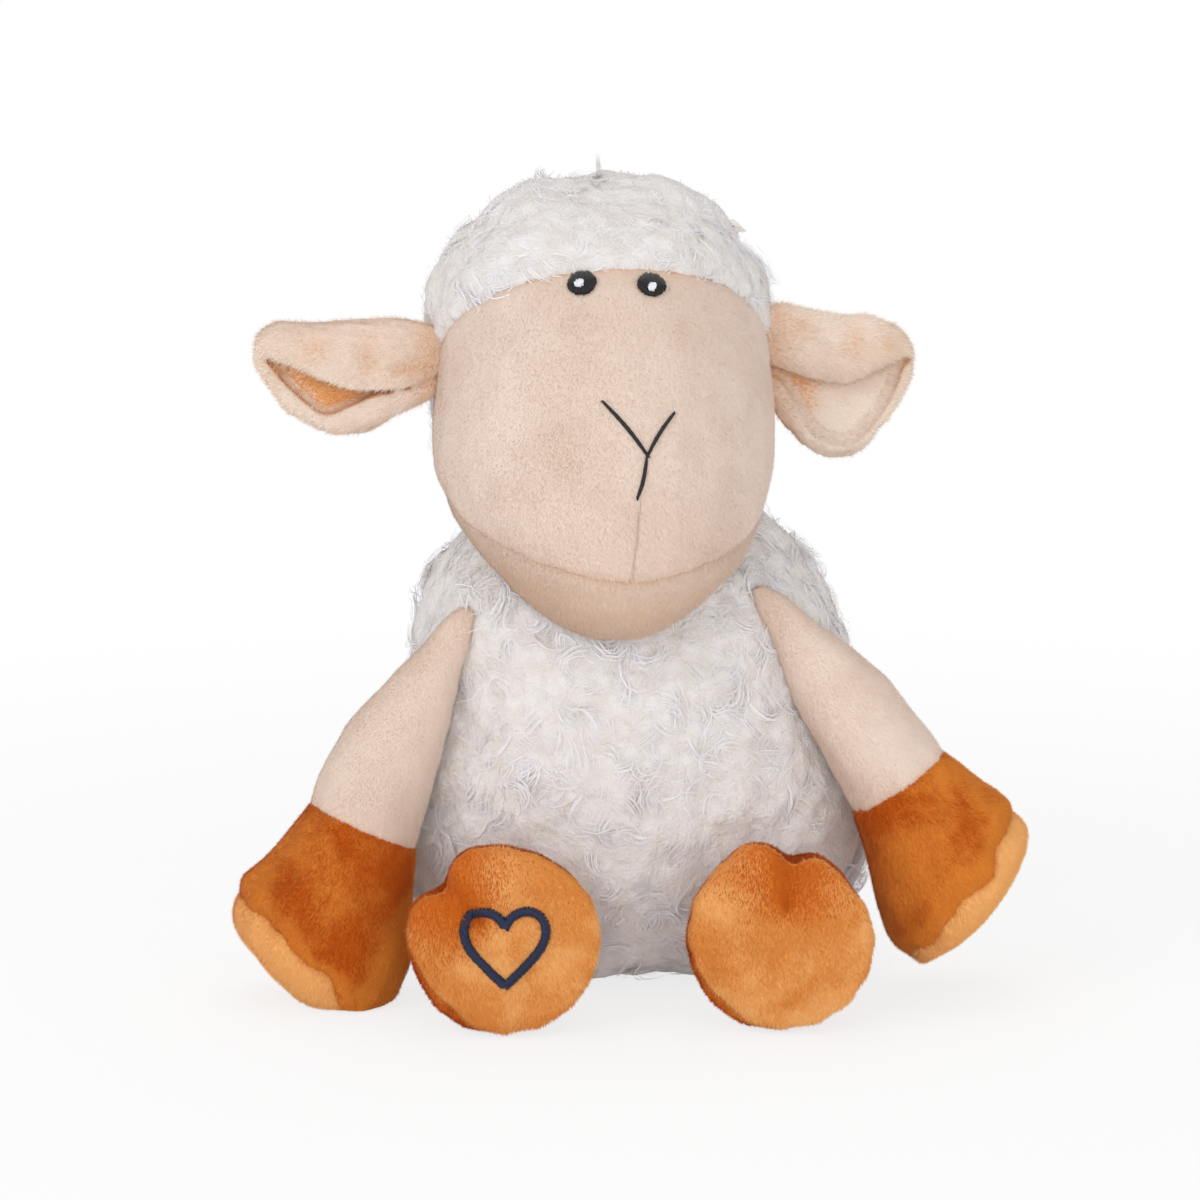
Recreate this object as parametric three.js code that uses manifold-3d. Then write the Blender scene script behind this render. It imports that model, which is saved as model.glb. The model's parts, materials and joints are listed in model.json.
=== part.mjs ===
// Plush sheep, seated, about 28 cm tall. Millimetres, +Z up, the sheep faces -Y.
// Left and right are the sheep's own, so its left side is +X.
// Every stuffed piece is a sewn cover with a filling inside it.
import * as THREE from 'three';
import { mergeVertices } from 'three/addons/utils/BufferGeometryUtils.js';
import Module from 'manifold-3d';

const wasm = await Module();
wasm.setup();

// Fabrics and fits
const COVER = 2.6; // thickness of a cover with its short pile
const FLEECE = 3.4; // thickness of the curly fleece cover, to the middle of its pile
const GAP = 0.3; // clearance between touching pieces
const OVERRUN = 40; // how far a cutter runs past what it cuts
const FLOOR_CUT = 0.5; // how deep a resting form is pressed flat

// Torso
const TORSO_HEIGHT = 178;
const TORSO_HALF_WIDTH = 87;
const TORSO_HALF_DEPTH = 66;
const TORSO_LEAN = 3; // how far the top leans to the sheep's right
const TORSO_AROUND = 24;
// share of the height, of the half width and of the half depth
const TORSO_SHARES = [
  [0, 0.46, 0.44],
  [0.014, 0.64, 0.62],
  [0.05, 0.8, 0.79],
  [0.12, 0.92, 0.91],
  [0.22, 0.985, 0.98],
  [0.33, 1, 1],
  [0.46, 0.965, 0.965],
  [0.58, 0.905, 0.91],
  [0.69, 0.83, 0.84],
  [0.79, 0.73, 0.74],
  [0.88, 0.6, 0.61],
  [0.95, 0.42, 0.45],
  [0.988, 0.22, 0.25],
];

// Neck
const NECK_BALL = 20; // radius of the plug of filling that the head turns on
const NECK_SINK = 9; // how far its centre lies below the top of the torso
const NECK_ASIDE = 9; // how far it lies to the sheep's right of the torso's top
const HEAD_CLEARANCE = 4.5; // room between the head and the torso, filled by the pile
const NOD_BACK = 12; // degrees that the head tips back
const HEAD_YAW = 8; // degrees that the head looks to the sheep's left at rest
const HEAD_TURN = 15; // degrees that it turns each way from there
const TORSO_TURN_SHARES = [-1, 0, 1]; // steps of that turn at which the chin is cut clear of the torso
const KNOT_TURN_SHARES = [-1, -0.67, -0.33, 0, 0.33, 0.67, 1]; // and of the shoulders

// Head, measured from the bottom of the chin
const HEAD_HEIGHT = 151;
const HEAD_HALF_WIDTH = 59;
const HEAD_FRONT = 92; // reach of the muzzle in front of the neck
const HEAD_BACK = 54; // reach of the back of the head behind the neck
const CHIN_DROP = 45.5; // how far the chin hangs below the neck's centre
const HEAD_AROUND = 24;
// share of the height, of the half width, then of the reach in front and behind
const HEAD_SHARES = [
  [0.012, 0.2, 0.75, -0.85],
  [0.045, 0.38, 0.86, -0.54],
  [0.096, 0.56, 0.94, -0.22],
  [0.167, 0.74, 0.985, 0.08],
  [0.256, 0.89, 1, 0.41],
  [0.36, 0.975, 1, 0.7],
  [0.468, 1, 0.97, 0.91],
  [0.577, 1, 0.905, 1],
  [0.692, 0.985, 0.805, 1.02],
  [0.795, 0.94, 0.685, 0.94],
  [0.885, 0.835, 0.53, 0.76],
  [0.949, 0.66, 0.36, 0.52],
  [0.987, 0.38, 0.15, 0.22],
];
const CHIN_POINT_SHARE = 0.62; // where the chin's lowest point lies, as a share of the reach in front

// Seams of the head in its side view: share of the reach in front (or behind, below zero), share of the height
const HAIRLINE_SHARES = [
  [1.02, 1.01],
  [0.63, 0.84],
  [0.1, 0.66],
  [0.02, 0.54],
  [-0.03, 0],
];
const CHIN_SEAM_SHARES = [
  [1.3, 0.06],
  [0.913, 0.17],
  [0.38, 0.29],
  [-0.2, 0.41],
];

// Embroidered face, in the front view of the head
const THREAD_RISE = 1.1; // how far a field of stitches stands up
const THREAD_BED = 0.3; // gap between it and the fabric
const EYE_SPACING = 24.5;
const EYE_ABOVE_CHIN = 119;
const EYE_HALF_WIDTH = 5.3;
const EYE_HALF_HEIGHT = 4.3;
const EYE_TILT = 12; // degrees
const GLINT_HALF_WIDTH = 1.9;
const GLINT_HALF_HEIGHT = 1.7;
const GLINT_DROP = 1.1;
const STITCH_WIDTH = 2;
const NOSE_LOW_ABOVE_CHIN = 66.5; // height of the point where the three strokes meet
const NOSE_LOW_ASIDE = 4.5; // how far it lies to the sheep's left
const NOSE_RIGHT_REACH = 13.5; // how far the right stroke runs sideways and up from there
const NOSE_RIGHT_RISE = 17.5;
const NOSE_LEFT_REACH = 9.5;
const NOSE_LEFT_RISE = 13.5;
const MOUTH_LENGTH = 14;
const MOUTH_SLANT = 2.5; // how far its lower end runs back to the middle

// Ears: a leaf of two layers, rolled forward along its top edge
const EAR_LENGTH = 59;
const EAR_LAYER = 1.7;
const EAR_ROLL_RIGHT = 26; // size of the rolled section at its widest
const EAR_ROLL_LEFT = 27;
const EAR_DROP_LEFT = 1.35; // how much further the left ear's free half hangs open
const EAR_ABOVE_CHIN = 91;
const EAR_SINK = 4; // how far the leaf's root reaches into the head before it is cut
const EAR_SWEEP_RIGHT = 8; // degrees that the ears point back
const EAR_SWEEP_LEFT = 26;
const EAR_FLAP = 25; // degrees that they swing forward or back
const EAR_POINTS = 11; // across the leaf
// from the rolled lip, over the back, to the free lower edge, as shares of the roll
const EAR_SECTION_SHARES = [
  [-0.5, -0.34],
  [-0.62, -0.1],
  [-0.55, 0.2],
  [-0.27, 0.43],
  [0.04, 0.42],
  [0.18, 0.14],
  [0.2, -0.2],
  [0.08, -0.58],
  [-0.2, -1],
];
// share of the length, and of the section
const EAR_OUTLINE_SHARES = [
  [0, 0.42],
  [0.14, 0.52],
  [0.3, 0.74],
  [0.46, 0.93],
  [0.62, 1],
  [0.78, 0.94],
  [0.91, 0.72],
  [1, 0.42],
];

// Arms, hanging from the shoulders
const ARM = {
  length: 136,
  halfWidth: 21.5,
  halfDepth: 19.5,
  bow: 5, // how far the middle of the arm bends away from the torso
  bulge: 3, // crown of the sole
  endSkew: 0.16, // slope of the sole, whose inner edge reaches further down
  around: 14,
  cuffShare: 0.605, // where the cuff starts
  soleShare: 0.975, // where the sole starts
  // share of the length, of the half width and of the half depth
  shares: [
    [0.03, 0.2, 0.22],
    [0.11, 0.36, 0.5],
    [0.22, 0.53, 0.7],
    [0.38, 0.77, 0.88],
    [0.56, 0.94, 0.98],
    [0.7, 1.15, 1.12],
    [0.85, 1.45, 1.3],
    [0.94, 1.52, 1.38],
    [0.98, 1.42, 1.28],
    [1, 1.12, 1],
  ],
};
const SHOULDER_HEIGHT_RIGHT = 132;
const SHOULDER_HEIGHT_LEFT = 139;
const SHOULDER_ANGLE_RIGHT = 47; // degrees round the torso from straight ahead
const SHOULDER_ANGLE_LEFT = 41;
const SHOULDER_KNOT = 6.5; // radius of the gathered root
const KNOT_OUT = 3; // how far its centre stands out of the torso
const ARM_OUT_RIGHT = 21; // degrees that each arm leans outwards and forwards at rest
const ARM_OUT_LEFT = 33;
const ARM_FORWARD_RIGHT = 13;
const ARM_FORWARD_LEFT = 10;
const ARM_SWING = 60; // degrees that an arm swings forwards
const ARM_RAISE = 60; // degrees that it lifts sideways
const SWING_TOE_OUT = 12; // degrees that the forward swing turns outwards

// Legs, stretched out in front, soles forward
const LEG = {
  length: 50,
  halfWidth: 22,
  halfDepth: 20.7,
  bow: 0,
  bulge: 4,
  endSkew: 0,
  around: 16,
  cuffShare: 0.36,
  soleShare: 0.955,
  shares: [
    [0.02, 0.72, 0.1],
    [0.14, 0.86, 0.42],
    [0.26, 0.95, 0.7],
    [0.36, 1, 0.88],
    [0.52, 1.17, 1.17],
    [0.7, 1.38, 1.44],
    [0.86, 1.5, 1.58],
    [0.94, 1.48, 1.56],
    [0.975, 1.36, 1.44],
    [1, 1.05, 1.12],
  ],
};
const HIP_ANGLE_RIGHT = 31; // degrees round the torso from straight ahead
const HIP_ANGLE_LEFT = 38;
const HIP_TURN_RIGHT = 26; // degrees that each hip seam turns to follow the torso
const HIP_TURN_LEFT = 30;
const LEG_SPLAY = -2; // degrees that a leg points outwards
const FOOT_LIFT = 3; // degrees that the foot's end rises
const LEG_UP = 40; // degrees that a leg lifts
const LEG_DOWN = 60; // degrees that it hangs

// Embroidered heart on the right foot
const HEART_WIDTH = 30;
const HEART_LINE = 3.4;
const HEART_STEPS = 5; // points on each of its four curves
// from the low point round to the right lobe and back, as shares of the half width: curves of two handles and an end
const HEART_START_SHARES = [0, -1];
const HEART_CURVE_SHARES = [
  [-0.5, -0.5, -1, -0.1, -1, 0.35],
  [-1, 0.95, -0.2, 1, 0, 0.45],
  [0.2, 1, 1, 0.95, 1, 0.35],
  [1, -0.1, 0.5, -0.5, 0, -1],
];

// Colours
const FLEECE_WHITE = 0xf3efe8;
const CREAM = 0xe9cdb2;
const CREAM_SHADE = 0xdfb48c;
const HOOF_BROWN = 0xb8691f;
const SOLE_TAN = 0xcc8f48;
const THREAD_BLACK = 0x1f1c1c;
const THREAD_WHITE = 0xf4f4f2;
const THREAD_NAVY = 0x1b2540;
const FILLING_WHITE = 0xf8f8f6;

const PILE_ROUGHNESS = 0.95;
const THREAD_ROUGHNESS = 0.6;

const { degToRad } = THREE.MathUtils;

function material(color, roughness = PILE_ROUGHNESS) {
  return new THREE.MeshStandardMaterial({ color, roughness, metalness: 0 });
}

// Solids

// The closed skin over a stack of rings, with a point at each end.
function skin(rings, firstPoint, lastPoint) {
  const around = rings[0].length;
  const points = [firstPoint, ...rings.flat(), lastPoint];
  const last = points.length - 1;
  const faces = [];
  for (let side = 0; side < around; side++) {
    const next = (side + 1) % around;
    faces.push(0, 1 + next, 1 + side);
    for (let ring = 0; ring < rings.length - 1; ring++) {
      const low = 1 + ring * around;
      const high = low + around;
      faces.push(low + side, low + next, high + next);
      faces.push(low + side, high + next, high + side);
    }
    const top = 1 + (rings.length - 1) * around;
    faces.push(last, top + side, top + next);
  }
  const geometry = new THREE.BufferGeometry().setFromPoints(points);
  geometry.setIndex(faces);
  geometry.computeVertexNormals();
  return geometry;
}

// The same skin moved in by a distance, or out by a negative one.
function movedIn(geometry, distance) {
  const moved = geometry.clone();
  const place = moved.getAttribute('position');
  const normal = geometry.getAttribute('normal');
  const point = new THREE.Vector3();
  const out = new THREE.Vector3();
  for (let i = 0; i < place.count; i++) {
    point.fromBufferAttribute(place, i);
    out.fromBufferAttribute(normal, i);
    point.addScaledVector(out, -distance);
    place.setXYZ(i, point.x, point.y, point.z);
  }
  return moved;
}

function solid(geometry) {
  const bare = geometry.clone();
  bare.deleteAttribute('normal');
  bare.deleteAttribute('uv');
  const merged = mergeVertices(bare);
  return new wasm.Manifold(new wasm.Mesh({
    numProp: 3,
    vertProperties: new Float32Array(merged.getAttribute('position').array),
    triVerts: new Uint32Array(merged.index.array),
  }));
}

function geometryOf(shape) {
  const { numProp, vertProperties, triVerts } = shape.getMesh();
  const places = new Float32Array((vertProperties.length / numProp) * 3);
  for (let i = 0; i < places.length / 3; i++) {
    for (let axis = 0; axis < 3; axis++) places[3 * i + axis] = vertProperties[numProp * i + axis];
  }
  const geometry = new THREE.BufferGeometry();
  geometry.setAttribute('position', new THREE.BufferAttribute(places, 3));
  geometry.setIndex(Array.from(triVerts));
  const faceted = geometry.toNonIndexed();
  faceted.computeVertexNormals();
  return faceted;
}

// The largest body of a cut shape, without the slivers that a cut can leave.
function mainBody(shape) {
  return shape.decompose().reduce((best, body) => (body.volume() > best.volume() ? body : best));
}

function meshOf(name, shape, look) {
  const mesh = new THREE.Mesh(geometryOf(mainBody(shape)), look);
  mesh.name = name;
  return mesh;
}

// A solid as it lies in the frame of another group.
function seenFrom(group, shape, home) {
  group.updateWorldMatrix(true, false);
  home.updateWorldMatrix(true, false);
  const shift = group.matrixWorld.clone().invert().multiply(home.matrixWorld);
  return shape.transform(shift.elements);
}

function block(low, high) {
  const size = high.clone().sub(low);
  const middle = high.clone().add(low).multiplyScalar(0.5);
  const geometry = new THREE.BoxGeometry(size.x, size.y, size.z);
  return solid(geometry.translate(middle.x, middle.y, middle.z));
}

const BALL_DETAIL = 2;

function ball(radius) {
  return solid(new THREE.IcosahedronGeometry(radius, BALL_DETAIL));
}

// The distance from the centre of a faceted ball of radius 1 to its nearest facet
function nearestFacet() {
  const corners = new THREE.IcosahedronGeometry(1, BALL_DETAIL).getAttribute('position');
  const facet = new THREE.Triangle();
  const centre = new THREE.Vector3();
  let nearest = 1;
  for (let i = 0; i < corners.count; i += 3) {
    facet.setFromAttributeAndIndices(corners, i, i + 1, i + 2);
    facet.getMidpoint(centre);
    nearest = Math.min(nearest, centre.length());
  }
  return nearest;
}

// The room in which a faceted ball turns freely
function ballRoom(radius) {
  return ball((radius + GAP) / nearestFacet());
}

// A closed sheet between two grids of points, front and back
function thickSheet(front, back) {
  const rows = front.length;
  const columns = front[0].length;
  const points = [...front.flat(), ...back.flat()];
  const behind = rows * columns;
  const faces = [];
  const quad = (a, b, c, d) => faces.push(a, b, c, a, c, d);
  for (let row = 0; row < rows - 1; row++) {
    for (let column = 0; column < columns - 1; column++) {
      const a = row * columns + column;
      quad(a, a + 1, a + columns + 1, a + columns);
      quad(behind + a, behind + a + columns, behind + a + columns + 1, behind + a + 1);
    }
    const left = row * columns;
    const right = left + columns - 1;
    quad(left, left + columns, behind + left + columns, behind + left);
    quad(right, behind + right, behind + right + columns, right + columns);
  }
  for (let column = 0; column < columns - 1; column++) {
    const low = column;
    const high = (rows - 1) * columns + column;
    quad(low, behind + low, behind + low + 1, low + 1);
    quad(high, high + 1, behind + high + 1, behind + high);
  }
  const geometry = new THREE.BufferGeometry().setFromPoints(points);
  geometry.setIndex(faces);
  return geometry;
}

// A closed band whose section is a loop of loops, such as a flat ring
function band(loops) {
  const around = loops[0].length;
  const faces = [];
  for (let loop = 0; loop < loops.length; loop++) {
    const low = loop * around;
    const high = ((loop + 1) % loops.length) * around;
    for (let side = 0; side < around; side++) {
      const next = (side + 1) % around;
      faces.push(low + side, low + next, high + next);
      faces.push(low + side, high + next, high + side);
    }
  }
  const geometry = new THREE.BufferGeometry().setFromPoints(loops.flat());
  geometry.setIndex(faces);
  return geometry;
}

// A right prism over an outline, both ways from the middle of its depth.
function prism(outline, halfDepth) {
  const shape = new THREE.Shape(outline);
  const geometry = new THREE.ExtrudeGeometry(shape, { depth: 2 * halfDepth, bevelEnabled: false });
  return geometry.translate(0, 0, -halfDepth);
}

// Turns a prism drawn in X and Y so that its outline lies in Y and Z.
function sidePrism(outline, halfDepth) {
  return prism(outline, halfDepth).rotateX(degToRad(90)).rotateZ(degToRad(90));
}

const OUTLINE_POINTS = 14;

function ellipse(halfWidth, halfHeight, x = 0, y = 0) {
  return Array.from({ length: OUTLINE_POINTS }, (_, i) => {
    const turn = (i / OUTLINE_POINTS) * 2 * Math.PI;
    return new THREE.Vector2(x + halfWidth * Math.cos(turn), y + halfHeight * Math.sin(turn));
  });
}

// Between two stations of a table of shares, how far a share lies, and the two rows
function rowsAround(table, share) {
  const above = Math.max(1, table.findIndex(([level]) => level >= share));
  const [low, high] = [table[above - 1], table[above]];
  const way = (share - low[0]) / (high[0] - low[0]);
  return low.map((value, column) => THREE.MathUtils.lerp(value, high[column], way));
}

// The root group stands on the floor under the torso.
const sheep = new THREE.Group();

// Torso

function torsoRing([height, width, depth]) {
  const level = height * TORSO_HEIGHT;
  return Array.from({ length: TORSO_AROUND }, (_, i) => {
    const turn = (i / TORSO_AROUND) * 2 * Math.PI;
    return new THREE.Vector3(
      width * TORSO_HALF_WIDTH * Math.cos(turn) - height * TORSO_LEAN,
      depth * TORSO_HALF_DEPTH * Math.sin(turn),
      level - FLOOR_CUT,
    );
  });
}

const torsoForm = skin(
  TORSO_SHARES.map(torsoRing),
  new THREE.Vector3(0, 0, -FLOOR_CUT),
  new THREE.Vector3(-TORSO_LEAN, 0, TORSO_HEIGHT),
);

function torsoSizesAt(height) {
  const [share, width, depth] = rowsAround(TORSO_SHARES, height / TORSO_HEIGHT);
  return {
    halfWidth: width * TORSO_HALF_WIDTH,
    halfDepth: depth * TORSO_HALF_DEPTH,
    middle: -share * TORSO_LEAN,
  };
}

// A place that stands out of the torso's skin by a distance; side is -1 on the sheep's right.
function besideTorso(height, side, angle, out) {
  const { halfWidth, halfDepth, middle } = torsoSizesAt(height);
  const turn = degToRad(angle);
  return new THREE.Vector3(
    middle + side * (halfWidth + out) * Math.sin(turn),
    -(halfDepth + out) * Math.cos(turn),
    height,
  );
}

const floorBlock = block(
  new THREE.Vector3(-2 * TORSO_HEIGHT, -2 * TORSO_HEIGHT, -OVERRUN),
  new THREE.Vector3(2 * TORSO_HEIGHT, 2 * TORSO_HEIGHT, 0),
);

// Neck: a plug of filling that the head turns and nods on
const neck = new THREE.Group();
neck.name = 'neck';
neck.position.set(-TORSO_LEAN - NECK_ASIDE, 0, TORSO_HEIGHT - NECK_SINK);
sheep.add(neck);
const neckPlug = ball(NECK_BALL);
const neckRoom = ballRoom(NECK_BALL);
neck.add(meshOf('neck_filling', neckPlug, material(FILLING_WHITE)));

// Shoulders: each arm's gathered root, half sunk in the torso
const shoulders = {};
for (const [name, side, height, angle] of [
  ['right', -1, SHOULDER_HEIGHT_RIGHT, SHOULDER_ANGLE_RIGHT],
  ['left', 1, SHOULDER_HEIGHT_LEFT, SHOULDER_ANGLE_LEFT],
]) {
  const shoulder = new THREE.Group();
  shoulder.name = `${name}_shoulder`;
  shoulder.position.copy(besideTorso(height, side, angle, KNOT_OUT));
  shoulder.rotation.z = degToRad(side * SWING_TOE_OUT);
  shoulder.add(meshOf(`${name}_shoulder_knot`, ball(SHOULDER_KNOT), material(CREAM)));
  sheep.add(shoulder);
  shoulders[name] = shoulder;
}

const knotRoom = ballRoom(SHOULDER_KNOT);

function clearOfJoints(shape) {
  let cut = shape.subtract(seenFrom(sheep, neckRoom, neck));
  for (const shoulder of Object.values(shoulders)) cut = cut.subtract(seenFrom(sheep, knotRoom, shoulder));
  return cut;
}

const torsoOuter = solid(torsoForm);
const torsoInner = solid(movedIn(torsoForm, FLEECE));
const torsoFilling = solid(movedIn(torsoForm, FLEECE + GAP));
const torsoCover = clearOfJoints(torsoOuter.subtract(torsoInner)).subtract(floorBlock);
const raisedFloor = floorBlock.translate(0, 0, FLEECE + GAP);
sheep.add(meshOf('torso_cover', torsoCover, material(FLEECE_WHITE)));
sheep.add(meshOf('torso_filling', clearOfJoints(torsoFilling).subtract(raisedFloor), material(FILLING_WHITE)));

// Head, in a group whose origin is the neck's centre
const head = new THREE.Group();
head.name = 'head';
head.rotation.z = degToRad(HEAD_YAW);
neck.add(head);

const headLevel = (share) => share * HEAD_HEIGHT - CHIN_DROP;
const headReach = (share) => (share > 0 ? -share * HEAD_FRONT : -share * HEAD_BACK);

// The head's half sizes at a level, and how far back its middle lies
function headSizes([, width, front, back]) {
  const frontY = -front * HEAD_FRONT;
  const backY = back > 0 ? back * HEAD_BACK : back * CHIN_POINT_SHARE * HEAD_FRONT;
  return {
    halfWidth: width * HEAD_HALF_WIDTH,
    middle: (frontY + backY) / 2,
    halfDepth: (backY - frontY) / 2,
  };
}

function headRing(row) {
  const { halfWidth, middle, halfDepth } = headSizes(row);
  return Array.from({ length: HEAD_AROUND }, (_, i) => {
    const turn = (i / HEAD_AROUND) * 2 * Math.PI;
    return new THREE.Vector3(
      halfWidth * Math.cos(turn),
      middle + halfDepth * Math.sin(turn),
      headLevel(row[0]),
    );
  });
}

const headForm = skin(
  HEAD_SHARES.map(headRing),
  new THREE.Vector3(0, -CHIN_POINT_SHARE * HEAD_FRONT, headLevel(0)),
  new THREE.Vector3(0, 0, headLevel(1)),
);

// The room that the torso and the shoulders take under the head, at rest, tipped back and turned
const torsoRoom = seenFrom(head, solid(movedIn(torsoForm, -HEAD_CLEARANCE)), sheep);
const knotRooms = Object.values(shoulders).map((shoulder) => seenFrom(head, knotRoom, shoulder));
const turned = (room, shares) => shares.map((share) => room.rotate(0, 0, share * HEAD_TURN));
const roomsUnderHead = [
  torsoRoom.rotate(NOD_BACK, 0, 0),
  ...turned(torsoRoom, TORSO_TURN_SHARES),
  ...knotRooms.flatMap((room) => turned(room, KNOT_TURN_SHARES)),
];

function clearOfTorso(shape) {
  return roomsUnderHead.reduce((left, room) => left.subtract(room), shape.subtract(neckRoom));
}

// The side view outline beyond a seam, closed well outside the head
function beyond(seamShares, corners) {
  const seam = seamShares.map(([reach, height]) => new THREE.Vector2(headReach(reach), headLevel(height)));
  return sidePrism([...seam, ...corners], HEAD_HALF_WIDTH + OVERRUN);
}

const behindHead = HEAD_BACK + OVERRUN;
const aboveHead = headLevel(1) + OVERRUN;
const belowHead = headLevel(0) - OVERRUN;
const capSide = solid(beyond(HAIRLINE_SHARES, [
  new THREE.Vector2(0, belowHead),
  new THREE.Vector2(behindHead, belowHead),
  new THREE.Vector2(behindHead, aboveHead),
]));
const chinSide = solid(beyond(CHIN_SEAM_SHARES, [
  new THREE.Vector2(behindHead, belowHead),
  new THREE.Vector2(-HEAD_FRONT - OVERRUN, belowHead),
]));

const headShell = clearOfTorso(solid(headForm).subtract(solid(movedIn(headForm, COVER))));
const cap = headShell.intersect(capSide);
const front = headShell.subtract(capSide.translate(0, -GAP, 0));
const chin = front.intersect(chinSide);
const face = front.subtract(chinSide.translate(0, 0, GAP));
const headFilling = clearOfTorso(solid(movedIn(headForm, COVER + GAP)));
head.add(meshOf('head_fleece_cap', cap, material(FLEECE_WHITE)));
head.add(meshOf('face_panel', face, material(CREAM)));
head.add(meshOf('chin_panel', chin, material(CREAM)));
head.add(meshOf('head_filling', headFilling, material(FILLING_WHITE)));

// Embroidery lies on the face: it follows the panel at a distance
function onFace({ x, y: aboveChin }, distance) {
  const { halfWidth, middle, halfDepth } = headSizes(rowsAround(HEAD_SHARES, aboveChin / HEAD_HEIGHT));
  const depth = middle - halfDepth * Math.sqrt(1 - (x / halfWidth) ** 2);
  return new THREE.Vector3(x, depth - distance, headLevel(0) + aboveChin);
}

const THREAD_TOP = THREAD_BED + THREAD_RISE;

// A flat ring of stitches between two outlines, laid on a surface
function stitchedRing(place, inner, outer) {
  const lay = (outline, distance) => outline.map((point) => place(point, distance));
  return band([
    lay(outer, THREAD_BED),
    lay(outer, THREAD_TOP),
    lay(inner, THREAD_TOP),
    lay(inner, THREAD_BED),
  ]);
}

function stitchedDisc(place, outline, centre) {
  const lay = (distance) => outline.map((point) => place(point, distance));
  return skin([lay(THREAD_BED), lay(THREAD_TOP)], place(centre, THREAD_BED), place(centre, THREAD_TOP));
}

const STROKE_STEPS = 4;

// A row of stitches between two points of the front view
function stitchedStroke(place, from, to) {
  const along = to.clone().sub(from).normalize();
  const across = new THREE.Vector2(-along.y, along.x).multiplyScalar(STITCH_WIDTH / 2);
  const grid = (distance) => Array.from({ length: STROKE_STEPS + 1 }, (_, i) => {
    const point = from.clone().lerp(to, i / STROKE_STEPS);
    return [point.clone().add(across), point.clone().sub(across)].map((edge) => place(edge, distance));
  });
  return thickSheet(grid(THREAD_TOP), grid(THREAD_BED));
}

for (const [name, side] of [['right', -1], ['left', 1]]) {
  const tilt = degToRad(-side * EYE_TILT);
  const centre = new THREE.Vector2(side * EYE_SPACING / 2, EYE_ABOVE_CHIN);
  const glint = new THREE.Vector2(centre.x, centre.y - GLINT_DROP);
  const tilted = (points) => points.map((point) => point.rotateAround(centre, tilt));
  const outer = tilted(ellipse(EYE_HALF_WIDTH, EYE_HALF_HEIGHT, centre.x, centre.y));
  const inner = tilted(ellipse(GLINT_HALF_WIDTH + GAP, GLINT_HALF_HEIGHT + GAP, glint.x, glint.y));
  const white = tilted(ellipse(GLINT_HALF_WIDTH, GLINT_HALF_HEIGHT, glint.x, glint.y));
  const eye = solid(stitchedRing(onFace, inner, outer));
  const shine = solid(stitchedDisc(onFace, white, tilted([glint])[0]));
  head.add(meshOf(`${name}_eye`, eye, material(THREAD_BLACK, THREAD_ROUGHNESS)));
  head.add(meshOf(`${name}_eye_glint`, shine, material(THREAD_WHITE, THREAD_ROUGHNESS)));
}

const meeting = new THREE.Vector2(NOSE_LOW_ASIDE, NOSE_LOW_ABOVE_CHIN);
const strokeStart = STITCH_WIDTH / 2 + GAP;
const strokes = {
  right_nose_stitch: new THREE.Vector2(-NOSE_RIGHT_REACH, NOSE_RIGHT_RISE),
  left_nose_stitch: new THREE.Vector2(NOSE_LEFT_REACH, NOSE_LEFT_RISE),
  mouth_stitch: new THREE.Vector2(-MOUTH_SLANT, -MOUTH_LENGTH),
};
for (const [name, reach] of Object.entries(strokes)) {
  const start = meeting.clone().addScaledVector(reach.clone().normalize(), strokeStart);
  const stroke = solid(stitchedStroke(onFace, start, meeting.clone().add(reach)));
  head.add(meshOf(name, stroke, material(THREAD_BLACK, THREAD_ROUGHNESS)));
}

// Ears

// One layer of the ear, between two distances behind the section's middle line
function earLayer(side, roll, drop, nearSide, farSide) {
  const section = EAR_SECTION_SHARES.map(([y, z]) => new THREE.Vector2(y, z < 0 ? z * drop : z));
  const curve = new THREE.SplineCurve(section);
  const grid = (offset) => EAR_OUTLINE_SHARES.map(([along, share]) => (
    Array.from({ length: EAR_POINTS }, (_, i) => {
      const at = i / (EAR_POINTS - 1);
      const point = curve.getPoint(at).multiplyScalar(share * roll);
      const tangent = curve.getTangent(at);
      return new THREE.Vector3(
        side * (along * (EAR_LENGTH + EAR_SINK) - EAR_SINK),
        point.x - tangent.y * offset,
        point.y + tangent.x * offset,
      );
    })
  ));
  const [near, far] = [grid(nearSide), grid(farSide)];
  return solid(side > 0 ? thickSheet(near, far) : thickSheet(far, near));
}

const headRoomForm = solid(movedIn(headForm, -GAP));

const earSizes = headSizes(rowsAround(HEAD_SHARES, EAR_ABOVE_CHIN / HEAD_HEIGHT));

for (const [name, side, roll, drop, sweep] of [
  ['right', -1, EAR_ROLL_RIGHT, 1, EAR_SWEEP_RIGHT],
  ['left', 1, EAR_ROLL_LEFT, EAR_DROP_LEFT, EAR_SWEEP_LEFT],
]) {
  const ear = new THREE.Group();
  ear.name = `${name}_ear_root`;
  ear.position.set(side * earSizes.halfWidth, earSizes.middle, headLevel(0) + EAR_ABOVE_CHIN);
  ear.rotation.z = degToRad(side * sweep);
  head.add(ear);
  const headRoom = seenFrom(ear, headRoomForm, head);
  const clearOfHead = (layer) => layer
    .subtract(headRoom)
    .subtract(headRoom.rotate(0, 0, EAR_FLAP))
    .subtract(headRoom.rotate(0, 0, -EAR_FLAP));
  const backLayer = earLayer(side, roll, drop, GAP / 2, GAP / 2 + EAR_LAYER);
  const frontLayer = earLayer(side, roll, drop, -GAP / 2 - EAR_LAYER, -GAP / 2);
  ear.add(meshOf(`${name}_ear_back`, clearOfHead(backLayer), material(CREAM)));
  ear.add(meshOf(`${name}_ear_front`, clearOfHead(frontLayer), material(CREAM_SHADE)));
}

// Limbs run along their own -Z from the root; side is -1 on the sheep's right.

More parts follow.
